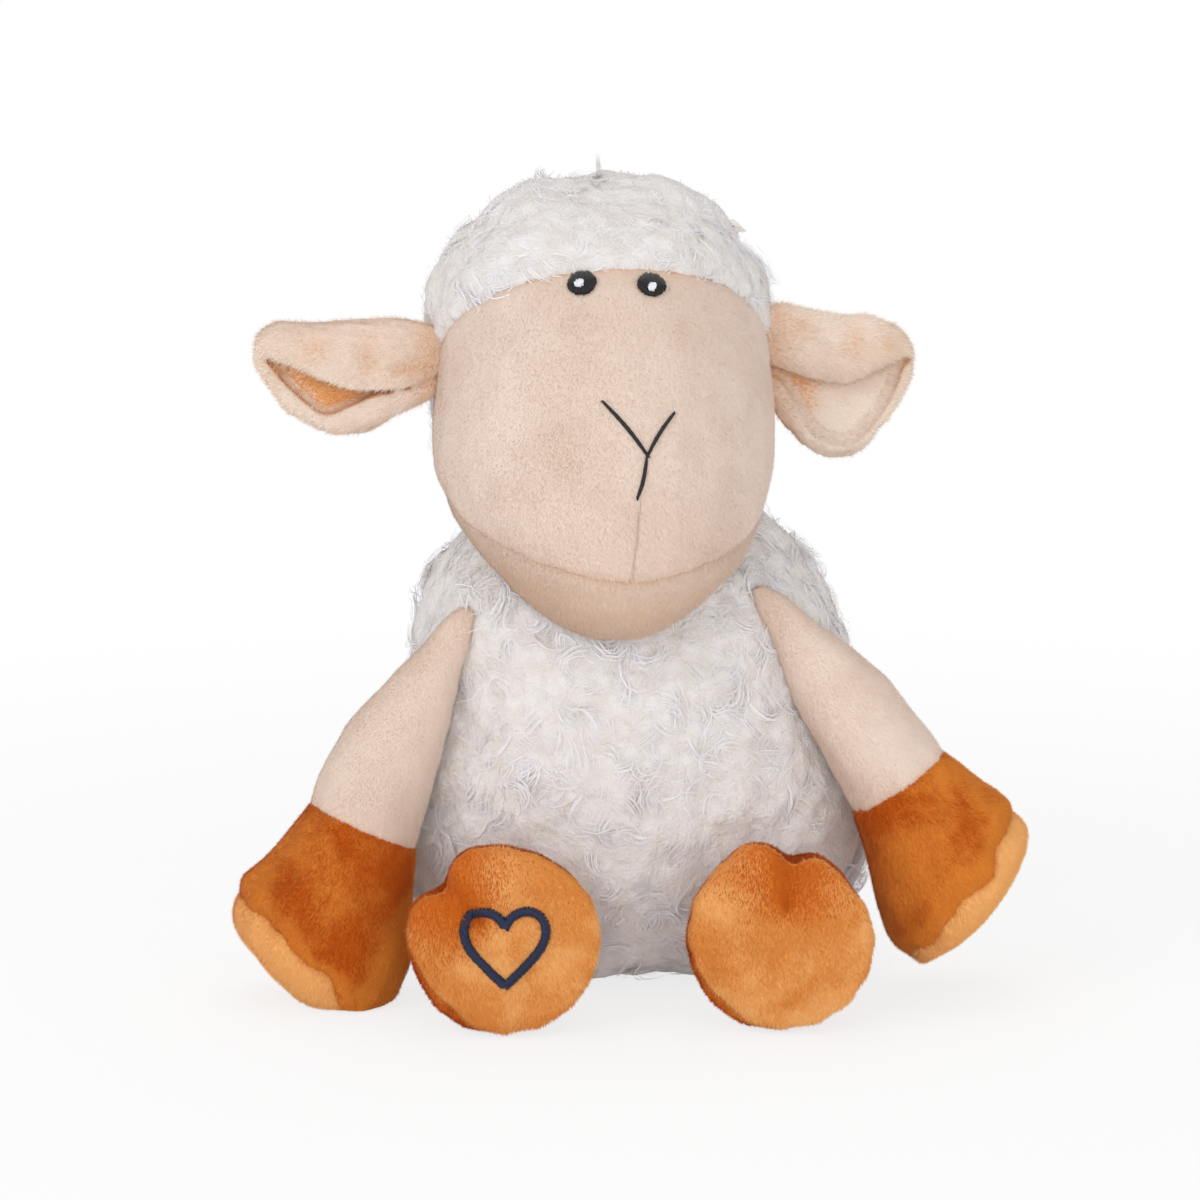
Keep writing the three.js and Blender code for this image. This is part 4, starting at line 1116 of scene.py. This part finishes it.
def pile_tree():
    """Fibres or curls on a surface: they lean along a nap, and their yarns follow a broad pattern, the
    painted sheen and the painted shade.
    """
    tree = bpy.data.node_groups.new("grown_pile", "GeometryNodeTree")
    tree.interface.new_socket("Geometry", in_out="INPUT", socket_type="NodeSocketGeometry")
    keys = {}
    for kind, labels in PILE_SOCKETS.items():
        for label in labels:
            socket = tree.interface.new_socket(label, in_out="INPUT", socket_type=f"NodeSocket{kind}")
            keys[label] = socket.identifier
    tree.interface.new_socket("Geometry", in_out="OUTPUT", socket_type="NodeSocketGeometry")
    board = Board(tree)
    given = {output.name: Wire(board, output) for output in tree.nodes.new("NodeGroupInput").outputs}
    seed = given["Seed"]

    # where the strands stand, and which way they lean
    place = board.node("GeometryNodeInputPosition")
    height = board.node("ShaderNodeSeparateXYZ", {}, [place], out=2)
    above = board.node("FunctionNodeCompare", {"operation": "GREATER_THAN"}, {0: height, 1: given["Lowest"]})
    points = board.node("GeometryNodeDistributePointsOnFaces", {}, {
        "Mesh": given["Geometry"], "Density": given["Density"], "Seed": seed, "Selection": above})
    normal = Wire(board, points.socket.node.outputs["Normal"])
    way = board.vector("SUBTRACT", board.noise(place, given["Swirl Scale"], 1.0, out=1), (0.5, 0.5, 0.5))
    jitter = random_between(board, "FLOAT_VECTOR", (-0.5, -0.5, -0.5), (0.5, 0.5, 0.5), seed)
    drift = board.vector("ADD", board.scaled(way, given["Swirl"]), board.scaled(jitter, given["Spread"]))
    flow = board.vector("ADD", given["Nap"], drift)
    aim = board.vector("ADD", normal, board.scaled(flow, given["Lean"]))
    upright = board.node("FunctionNodeAlignRotationToVector", {"axis": "Z"}, {"Vector": aim})
    leaning = board.node("FunctionNodeAlignRotationToVector", {"axis": "X", "pivot_axis": "Z"},
                         {"Rotation": upright, "Vector": flow})
    kinds = board.node("GeometryNodeCollectionInfo", {}, {0: given["Kinds"], 1: True, 2: True})
    size = random_between(board, "FLOAT", SMALLEST, LARGEST, seed) * given["Size"]
    strands = board.node("GeometryNodeInstanceOnPoints", {}, {
        "Points": points, "Instance": kinds, "Pick Instance": True, "Rotation": leaning,
        "Instance Index": random_between(board, "INT", 0, KINDS - 1, seed),
        "Scale": board.node("ShaderNodeCombineXYZ", {}, [size, size, size])})

    # made real, and kept above the floor
    strands = stored(board, strands, "FLOAT", "shade", random_between(board, "FLOAT", -0.5, 0.5, 7))
    strands = stored(board, strands, "FLOAT_VECTOR", "ground", normal)
    strands = board.node("GeometryNodeRealizeInstances", {}, [strands])
    here = board.node("GeometryNodeInputPosition")
    x, y, z = (board.node("ShaderNodeSeparateXYZ", {}, [here], out=i) for i in range(3))
    z = board.node("ShaderNodeMath", {"operation": "MAXIMUM"}, [z, FLOOR_GAP])
    strands = board.node("GeometryNodeSetPosition", {}, {
        "Geometry": strands, "Position": board.node("ShaderNodeCombineXYZ", {}, [x, y, z])})

    # their yarns: from dark to light by the pattern, lighter by painted sheen, and the yarn of painted shade
    shade, warmth = named(board, "FLOAT", "shade"), named(board, "FLOAT", "warmth")
    tone = board.patches(here, given["Tone Scale"]) + shade * given["Shift"] + (warmth * -0.3).clamped()
    chosen = (None, tone > given["Low"], tone > given["High"], (warmth + shade * 0.8) > SHADE_YARN_LIMIT)
    for index, selection in enumerate(chosen, 1):
        strands = board.node("GeometryNodeSetMaterial", {}, {
            "Geometry": strands, "Selection": selection, "Material": given[f"Yarn {index}"]})

    # their normals turned towards those of the ground
    towards = board.scaled(named(board, "FLOAT_VECTOR", "ground"), given["Soft"])
    softened = board.vector("NORMALIZE", board.vector("ADD", board.node("GeometryNodeInputNormal"), towards))
    strands = board.node("GeometryNodeSetMeshNormal", {"mode": "FREE", "domain": "POINT"},
                         {"Mesh": strands, "Custom Normal": softened})
    for name in ("ground", "shade", "warmth"):
        strands = board.node("GeometryNodeRemoveAttribute", {}, {"Geometry": strands, "Name": name})
    board.tree.links.new(strands.socket, tree.nodes.new("NodeGroupOutput").inputs[0])
    return tree, keys


grown, grown_keys = pile_tree()


def kinds_collection(name, meshes):
    kinds = bpy.data.collections.new(name)
    bpy.context.scene.collection.children.link(kinds)
    for index, mesh in enumerate(meshes):
        kinds.objects.link(bpy.data.objects.new(f"{name}_{index:02d}", mesh))
    return kinds


def ribbon_mesh(name, strands):
    """A mesh of thin tapering ribbons. A strand is its points, its widths and the way its width lies."""
    verts, faces = [], []
    for points, widths, across in strands:
        start = len(verts)
        for point, width, side in zip(points, widths, across):
            verts.append(point - side * width / 2)
            verts.append(point + side * width / 2)
        for i in range(len(points) - 1):
            a = start + 2 * i
            faces.append((a, a + 2, a + 3, a + 1))
    mesh = bpy.data.meshes.new(name)
    mesh.from_pydata([v[:] for v in verts], [], faces)
    mesh.shade_smooth()
    return mesh


def fibre_kinds():
    """Single short fibres of a brushed pile, a blade each."""
    rng = np.random.default_rng(3)
    meshes = []
    for _ in range(KINDS):
        lean, side = rng.uniform(0.1, 0.5), rng.uniform(0.08, 0.13)
        tip = (lean, rng.uniform(-0.15, 0.15), 1 - 0.4 * lean)
        corners = np.array([(0.3 * side, -side, -0.1), (-0.3 * side, side, -0.1), tip]) * MM
        mesh = bpy.data.meshes.new("fibre")
        mesh.from_pydata(corners, [], [(0, 2, 1)])
        meshes.append(mesh)
    return kinds_collection("fibres", meshes)


def curl_path(rise, turn, length, steps, dip):
    """A path that rises out of the fleece, bends over and curls round."""
    points = [Vector((0, 0, -0.8 * MM))]
    heading, climb = 0.0, rise
    for index in range(steps):
        level = math.cos(climb)
        ahead = Vector((math.cos(heading) * level, math.sin(heading) * level, math.sin(climb)))
        points.append(points[-1] + ahead * (length / steps))
        heading += turn / steps * (0.3 + 1.4 * index / steps)
        climb += (dip - climb) * 0.42
    return points


def lock_mesh(name, rng, strands, steps, length, turn, rise, dip, spread, gather, width):
    """One lock of wool: strands that start side by side, curl the same way and close up towards the tip."""
    rows = []
    for _ in range(strands):
        share_off = rng.normal(0, spread, 2) * MM
        own = curl_path(rise * rng.uniform(0.85, 1.15), turn * rng.uniform(0.85, 1.15),
                        length * rng.uniform(0.8, 1.1) * MM, steps, dip)
        points, widths, across = [], [], []
        tilt = rng.normal(0, 0.15)
        thick = width * MM * rng.uniform(0.75, 1.25)
        for index, place in enumerate(own):
            share = index / steps
            ahead = (own[min(index + 1, steps)] - own[max(index - 1, 0)]).normalized()
            flat = Vector((0, 0, 1)).cross(ahead)
            flat = flat.normalized() if flat.length > 0.05 else Vector((0, 1, 0))
            lifted = ahead.cross(flat)
            close = 1 - gather * share
            points.append(place + flat * share_off[0] * close + lifted * share_off[1] * 0.7 * close)
            widths.append(thick * (0.7 + 0.6 * share if share < 0.5 else 1.85 * (1 - share) + 0.08))
            across.append((flat + lifted * tilt).normalized())
        rows.append((points, widths, across))
    return ribbon_mesh(name, rows)


def curl_kinds(name, seed, length, turn, rise, **lock):
    rng = np.random.default_rng(seed)
    meshes = []
    for index in range(KINDS):
        hand = 1 if index % 2 else -1
        meshes.append(lock_mesh(
            name, rng, length=rng.uniform(*length), turn=hand * math.radians(rng.uniform(*turn)),
            rise=rng.uniform(*rise), **lock))
    return kinds_collection(name, meshes)


fibres = fibre_kinds()
locks = curl_kinds("locks", 5, length=(9, 15), turn=(150, 300), rise=(0.45, 0.9), dip=-0.15, strands=10,
                   steps=6, spread=1.2, gather=0.7, width=0.29)
wisps = curl_kinds("wisps", 9, length=(6, 10), turn=(40, 170), rise=(0.3, 0.6), dip=-0.1, strands=9,
                   steps=4, spread=2.2, gather=0.1, width=0.32)


# How a pile grows where nothing else is said: fibres that hang down and share their yarns evenly
PILE = {
    "nap": (0, 0, -1), "lean": 0.8, "spread": 0.8, "swirl": 0.0, "swirl_scale": 60.0, "tone_scale": NAP_PATCH,
    "low": 0.46, "high": 0.54, "shift": 0.12, "lowest": -1.0, "soft": 0.0,
}
CURLS = {
    **PILE, "nap": (0, 0, -0.5), "lean": 0.5, "spread": 0.9, "swirl": 7.0, "swirl_scale": 45.0,
    "tone_scale": 60.0, "low": 0.34, "high": 0.52, "shift": 0.2, "soft": 0.45,
}
TOP_CURLS = {**CURLS, "soft": 0.3, "low": 0.1, "high": 0.36}
CAP_CURLS = {**CURLS, "low": 0.28, "high": 0.46, "lean": 1.0}
FIBRES = 4.2e6  # to the square metre


def grow(name, skin, body, slot, kinds, yarns, density, size, seed, pile=PILE, **own):
    """Grows a pile on a cover. Its density is strands to the square metre, its yarns are four."""
    source = linked(f"{name}_ground", skins[skin].data)
    modifier = source.modifiers.new("grown pile", "NODES")
    modifier.node_group = grown
    values = {**pile, **own, "density": density, "size": size, "seed": seed, "kinds": kinds}
    values.update((f"yarn_{index}", yarn) for index, yarn in enumerate(yarns, 1))
    for label, key in grown_keys.items():
        modifier[key] = values[label.lower().replace(" ", "_")]
    mesh = evaluated(source)
    bpy.data.objects.remove(source)
    obj = linked(name, mesh)
    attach(obj, body)


def grow_fibres(name, skin, body, slot, yarns, share, size, seed, **own):
    grow(name, skin, body, slot, fibres, yarns, share * FIBRES, size, seed, **own)


for side_name, side in SIDES.items():
    ear, outwards = f"{side_name}_ear", tuple(head_frame.to_3x3() @ Vector((side, 0, -0.3)))
    layers = (("back", "cream_pile", ear_fibres), ("front", "cream_ear_lining", lining_fibres))
    for part, slot, yarns in layers:
        grow_fibres(f"{ear}_{part}_pile", f"{ear}_{part}", ear, slot, yarns, share=1.3, size=1.3, seed=16,
                    nap=outwards, low=0.36, high=0.5, lean=1.1)
    grow_fibres(f"{ear}_fringe", f"{ear}_back", ear, "cream_pile", ear_fibres, share=0.3, size=2.1, seed=18,
                nap=outwards, low=0.3, high=0.4, lean=0.4)
    grow_fibres(f"{side_name}_knot_pile", f"{side_name}_knot", f"{side_name}_shoulder", "cream_pile",
                cream_fibres, share=1.0, size=1.0, seed=17, low=0.4, high=0.56)
for side_name in SIDES:
    for limb, frames in (("arm", arm_frame), ("leg", leg_frame)):
        body = f"{side_name}_{limb}"
        down = tuple(frames[side_name].to_3x3() @ Vector((0, 0, -1)))
        sole_nap = down if limb == "arm" else PILE["nap"]
        grow_fibres(f"{body}_sleeve_pile", f"{body}_sleeve", body, "cream_pile", cream_fibres,
                    share=1.0, size=1.15, seed=11, nap=down, low=0.36, high=0.5)
        grow_fibres(f"{body}_cuff_pile", f"{body}_hoof_cuff", body, "brown_hoof_pile", brown_fibres,
                    share=1.3, size=1.5, seed=12, nap=down)
        grow_fibres(f"{body}_sole_pile", f"{body}_sole", body, "tan_sole_pile", tan_fibres,
                    share=1.3, size=1.5, seed=13, nap=sole_nap)
grow_fibres("face_pile", "face_panel", "head", "cream_pile", face_fibres, share=1.0, size=1.15, seed=14,
            low=0.42, high=0.66, lean=1.0)
grow_fibres("chin_pile", "chin_panel", "head", "cream_pile", chin_fibres, share=1.0, size=1.15, seed=15,
            low=0.4, high=0.56, lean=1.0)

# The fleece: cover and body, kinds, curls to the square metre, size, seed, and where the lowest stand
FLEECE = {
    "torso_fleece_wisps": ("torso_cover", "torso", wisps, 3.0e4, 1.0, 21, CURLS, 0.004),
    "torso_fleece_locks": ("torso_cover", "torso", locks, 1.9e4, 1.05, 22, CURLS, 0.008),
    "torso_fleece_curls": ("torso_cover", "torso", locks, 1.6e4, 1.3, 25, TOP_CURLS, 0.008),
    "cap_fleece_wisps": ("head_fleece_cap", "head", wisps, 4.6e4, 0.95, 23, CAP_CURLS, -1.0),
    "cap_fleece_locks": ("head_fleece_cap", "head", locks, 2.8e4, 0.95, 24, CAP_CURLS, -1.0),
}
for fleece_name, (skin, body, kinds, density, size, seed, curls, lowest) in FLEECE.items():
    grow(fleece_name, skin, body, "white_fleece", kinds, fleece_yarns, density, size, seed, curls,
         lowest=lowest)


def tree_over(*names):
    """A searchable copy of finished covers."""
    verts, faces = [], []
    for name in names:
        mesh = skins[name].data
        start = len(verts)
        verts += [v.co.copy() for v in mesh.vertices]
        faces += [[start + i for i in p.vertices] for p in mesh.polygons]
    return BVHTree.FromPolygons(verts, faces)


def tuft(name, start, way, length, spread):
    """A spiky wisp of gathered strands, where a line that comes from outside meets the cap."""
    way = Vector(way).normalized()
    hit = tree_over("head_fleece_cap").ray_cast(Vector(start) * MM, -way)[0]
    mesh = lock_mesh(name, np.random.default_rng(8), length=length, turn=0.2, rise=1.45, dip=1.5, strands=24,
                     steps=6, spread=spread, gather=0.8, width=0.45)
    mesh.transform(Matrix.Translation(hit) @ way.to_track_quat("Z", "Y").to_matrix().to_4x4())
    mesh.materials.append(fleece_yarns[1])
    obj = linked(name, mesh)
    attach(obj, "head")


tuft("cap_top_tuft", (-13.7, 18, 330), (0, 0, 1), 9.5, 0.9)
tuft("cap_side_tuft", (110, 14, 231.5), (1, 0, -0.35), 6.0, 1.3)


# Embroidery: threads laid over the padded fabric

THREAD_SIDES = 5
THREAD_RADIUS, GLINT_RADIUS = 0.3 * MM, 0.28 * MM
THREAD_SUNK = 0.25  # how far the ends of a thread lie in the cloth, in millimetres
HOOP_AWAY = 120 * MM
SATIN_PITCH = 0.5


def embroider(name, strands, radius, thread, body, node):
    """Closed tubes along several short paths, thinner at their ends."""
    verts, faces = [], []
    for points, outward in strands:
        start, last = len(verts), len(points) - 1
        for index, point in enumerate(points):
            ahead = (points[min(index + 1, last)] - points[max(index - 1, 0)]).normalized()
            up = (outward - ahead * outward.dot(ahead)).normalized()
            side = ahead.cross(up)
            thin = radius * (0.55 if index in (0, last) else 1.0)
            for corner in range(THREAD_SIDES):
                angle = 2 * math.pi * corner / THREAD_SIDES
                verts.append(point + (side * math.cos(angle) + up * math.sin(angle)) * thin)
        ring = range(THREAD_SIDES)
        faces += [[start + i for i in quad(row, c, THREAD_SIDES, (c + 1) % THREAD_SIDES)]
                  for row in range(last) for c in ring]
        faces.append([start + c for c in reversed(ring)])
        faces.append([start + last * THREAD_SIDES + c for c in ring])
    mesh = bpy.data.meshes.new(name)
    mesh.from_pydata([v[:] for v in verts], [], faces)
    mesh.shade_smooth()
    mesh.materials.append(threads[thread])
    mesh.validate()
    bm = bmesh.new()
    bm.from_mesh(mesh)
    bmesh.ops.recalc_face_normals(bm, faces=bm.faces)
    bm.to_mesh(mesh)
    bm.free()
    obj = linked(name, mesh)
    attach(obj, body)
    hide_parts(node)


class Hoop:
    """A flat drawing plane in front of a padded surface: drawn points drop onto the surface."""

    def __init__(self, matrix, tree, down):
        self.matrix, self.tree, self.down = matrix, tree, down.normalized()

    def drop(self, across, up, proud):
        start = self.matrix @ (Vector((across, 0, up)) * MM) - self.down * HOOP_AWAY
        hit, normal, _, _ = self.tree.ray_cast(start, self.down)
        return hit + normal * proud * MM, normal


def stitched(hoop, lines, *, rise, base, steps):
    """Threads from end to end of each short line, arched over the cloth."""
    strands = []
    for (ax, az), (bx, bz) in lines:
        points = []
        for step in range(steps + 1):
            share = step / steps
            proud = base - THREAD_SUNK + rise * math.sin(math.pi * share)
            point, normal = hoop.drop(ax + (bx - ax) * share, az + (bz - az) * share, proud)
            points.append(point)
        strands.append((points, normal))
    return strands


def satin_path(path, widths, slant, ragged):
    """Short lines across a path, close together, leaning by a slant."""
    path = [Vector(p) for p in path]
    lines = []
    lengths = [(b - a).length for a, b in zip(path, path[1:])]
    total = sum(lengths)
    count = max(2, int(total / SATIN_PITCH))
    for index in range(count + 1):
        travel = min(total * index / count, total - 1e-6)
        leg = 0
        while travel > lengths[leg]:
            travel -= lengths[leg]
            leg += 1
        middle = path[leg].lerp(path[leg + 1], travel / lengths[leg])
        ahead = (path[min(leg + 2, len(path) - 1)] - path[max(leg - 1, 0)]).normalized()
        way = (Vector((-ahead.y, ahead.x)) + ahead * slant).normalized()
        width = np.interp(index / count, np.linspace(0, 1, len(widths)), widths) / 2
        jitter = stitch_rng.uniform(-ragged, ragged, 2)
        lines.append((middle - way * (width + jitter[0]), middle + way * (width + jitter[1])))
    return lines


def ellipse_lines(middle, half_width, half_height, tilt, pitch, slant, ragged):
    """Short upright lines that fill a tilted ellipse."""
    tilt, lines = math.radians(tilt), []
    count = int(2 * half_width / pitch)
    for index in range(count + 1):
        x = half_width * (2 * (index + 0.5) / (count + 1) - 1)
        z = half_height * math.sqrt(1 - (x / half_width) ** 2)
        ends = []
        for sign in (-1, 1):
            px, pz = x + slant * sign * z, sign * (z + stitch_rng.uniform(-ragged, ragged))
            ends.append((middle[0] + px * math.cos(tilt) - pz * math.sin(tilt),
                         middle[1] + px * math.sin(tilt) + pz * math.cos(tilt)))
        lines.append(ends)
    return lines


def hoop_place(node):
    """Where the middle of a solid lies on the face's drawing plane."""
    inverse = face_hoop.matrix.inverted()
    corners = [inverse @ v.co / MM for v in frame["nodes"][node].data.vertices]
    return sum(c.x for c in corners) / len(corners), sum(c.z for c in corners) / len(corners)


stitch_rng = np.random.default_rng(31)
face_tree = tree_over("face_panel", "chin_panel", "head_fleece_cap")
face_down = head_frame.to_3x3() @ Vector((0, 1, 0))
face_hoop = Hoop(head_frame @ Matrix.Translation(Vector((0, 0, -CHIN_DROP * MM))), face_tree, face_down)

EYE_WIDE, EYE_TALL, EYE_TILT = 4.7, 3.6, 12  # half the width and height
GLINT_WIDE, GLINT_TALL, GLINT_TILT = 1.5, 1.2, 20
# How far each eye sits from its solid's middle, and its glint from the eye's: across, up
EYE_SHIFT = {"right": (-0.5, 1.8), "left": (-2.2, 1.0)}
GLINT_SHIFT = {"right": (-0.9, -0.7), "left": (-0.2, -1.2)}

for side_name, side in SIDES.items():
    middle = np.add(hoop_place(f"{side_name}_eye"), EYE_SHIFT[side_name])
    upper = ellipse_lines(middle, EYE_WIDE, EYE_TALL, -side * EYE_TILT, 0.42, 0.12, 0.25)
    under = ellipse_lines(middle, EYE_TALL * 0.9, EYE_WIDE * 0.9, -side * EYE_TILT + 90, 0.5, 0.0, 0.1)
    strands = stitched(face_hoop, upper, rise=0.9, base=0.9, steps=6)
    strands += stitched(face_hoop, under, rise=0.5, base=0.5, steps=5)
    embroider(f"{side_name}_eye_stitches", strands, THREAD_RADIUS, "black_thread", "head", f"{side_name}_eye")
    middle = middle + GLINT_SHIFT[side_name]
    glint = ellipse_lines(middle, GLINT_WIDE, GLINT_TALL, GLINT_TILT, 0.45, 0.1, 0.2)
    strands = stitched(face_hoop, glint, rise=0.5, base=2.0, steps=4)
    embroider(f"{side_name}_glint_stitches", strands, GLINT_RADIUS, "white_thread", "head",
              f"{side_name}_eye_glint")

# Strokes of the nose and mouth: from the nose's low point to their two ends, and how far they bow
NOSE_LOW = Vector((4.5, 66.5))  # aside, above the chin
STROKE_WIDTHS, STROKE_STEPS = (1.2, 1.9, 2.2, 2.1, 1.9, 1.3), 8
STROKES = {
    "right_nose_stitch": ((-13.5, 17.5), (0.3, 0.2), 0.6),
    "left_nose_stitch": ((9.5, 13.5), (-0.2, 0.0), -0.6),
    "mouth_stitch": ((-0.2, -0.6), (-3.6, -13), 0.5),
}
for node, (start, end, bow) in STROKES.items():
    a, b = NOSE_LOW + Vector(start), NOSE_LOW + Vector(end)
    aside = Vector((-(b - a).y, (b - a).x)).normalized()
    shares = [step / STROKE_STEPS for step in range(STROKE_STEPS + 1)]
    path = [a.lerp(b, share) + aside * bow * math.sin(math.pi * share) for share in shares]
    lines = satin_path(path, STROKE_WIDTHS, slant=1.6, ragged=0.08)
    strands = stitched(face_hoop, lines, rise=0.55, base=0.6, steps=4)
    embroider(f"{node}_threads", strands, THREAD_RADIUS, "black_thread", "head", node)


# The heart on the sole: from the low point round to one lobe and back, as shares of its half width
HEART_WIDTH, HEART_LINE, HEART_STEPS = 30, 3.4, 16
HEART_CURVES = [
    ((0, -1), (-0.5, -0.5), (-1, -0.1), (-1, 0.35)), ((-1, 0.35), (-1, 0.95), (-0.2, 1), (0, 0.45)),
    ((0, 0.45), (0.2, 1), (1, 0.95), (1, 0.35)), ((1, 0.35), (1, -0.1), (0.5, -0.5), (0, -1)),
]
sole_tree = tree_over("right_leg_sole", "right_leg_hoof_cuff")
sole_down = leg_frame["right"].to_3x3() @ Vector((0, 0, 1))
sole_hoop = Hoop(leg_frame["right"] @ turned(90, "X"), sole_tree, sole_down)
strands = []
for curve in HEART_CURVES:
    corners = [Vector(c) * (HEART_WIDTH - HEART_LINE) / 2 for c in curve]
    path = []
    for step in range(HEART_STEPS + 1):
        t = step / HEART_STEPS
        weights = ((1 - t) ** 3, 3 * t * (1 - t) ** 2, 3 * t * t * (1 - t), t ** 3)
        path.append(sum((c * w for c, w in zip(corners, weights)), Vector((0, 0))))
    lines = satin_path(path, (HEART_LINE, HEART_LINE), slant=0.45, ragged=0.15)
    strands += stitched(sole_hoop, lines, rise=0.8, base=1.0, steps=5)
embroider("heart_stitches", strands, THREAD_RADIUS, "navy_thread", "right_leg", "right_foot_embroidery")

for obj in forms.values():
    dropped(obj)
for kinds in (fibres, locks, wisps):
    for obj in list(kinds.objects):
        dropped(obj)
    bpy.data.collections.remove(kinds)


# Floor, backdrop and light

AMBIENT = 0.53  # how bright the white walls light the sheep
FLOOR_WHITE = 0.77  # how much of the floor near the sheep is seen as plain white; far off all of it is
FLOOR_NEAR, FLOOR_FAR = 0.2, 0.75
FLOOR_REACH = 6
WHITE = (1, 1, 1, 1)


def seen_straight(board):
    """1 for rays from the camera, also by way of a mirror or glass."""
    kinds = ("Camera", "Glossy", "Transmission")
    straight, mirrored, through = (board.node("ShaderNodeLightPath", out=f"Is {kind} Ray") for kind in kinds)
    return straight + mirrored + through


def white_floor():
    material, board, shader = new_material("studio_floor", Base_Color=WHITE, Roughness=1.0)
    away = board.vector("LENGTH", object_place(board), out="Value")
    share = board.between(away, FLOOR_NEAR, FLOOR_FAR) * (1 - FLOOR_WHITE) + FLOOR_WHITE
    white = board.node("ShaderNodeEmission", {}, {"Color": WHITE, "Strength": 1.0})
    mix = board.node("ShaderNodeMixShader", {}, {
        0: (seen_straight(board) * share).clamped(), 1: Wire(board, shader.outputs[0]), 2: white})
    board.tree.links.new(mix.socket, material.node_tree.nodes["Material Output"].inputs["Surface"])
    mesh = bpy.data.meshes.new("studio_floor")
    corners = [(x * FLOOR_REACH, y * FLOOR_REACH, 0) for x, y in ((-1, -1), (1, -1), (1, 1), (-1, 1))]
    mesh.from_pydata(corners, [], [(0, 1, 2, 3)])
    mesh.materials.append(material)
    linked("studio_floor", mesh)


def white_walls():
    world = bpy.data.worlds.new("studio")
    bpy.context.scene.world = world
    world.use_nodes = True
    board = Board(world.node_tree)
    strength = seen_straight(board).clamped() * (1 - AMBIENT) + AMBIENT
    background = world.node_tree.nodes["Background"]
    background.inputs["Color"].default_value = WHITE
    board.tree.links.new(strength.socket, background.inputs["Strength"])


# The lights: where, how large and how strong
LIGHTS = {
    "key_light": ((-1.35, -1.3, 1.1), 1.4, 12.5),
    "fill_light": ((1.4, -1.4, 0.55), 1.3, 5),
    "front_light": ((0.1, -2.0, 0.25), 1.2, 13),
    "top_light": ((0.0, 0.5, 1.7), 1.0, 4.5),
}


def softbox(name, place, size, power):
    data = bpy.data.lights.new(name, "AREA")
    data.shape = "RECTANGLE"
    data.size = data.size_y = size
    data.energy = power
    light = linked(name, data)
    light.location = place
    light.rotation_euler = (VIEW_MIDDLE - Vector(place)).to_track_quat("-Z", "Y").to_euler()


white_floor()
white_walls()
for light_name, light in LIGHTS.items():
    softbox(light_name, *light)
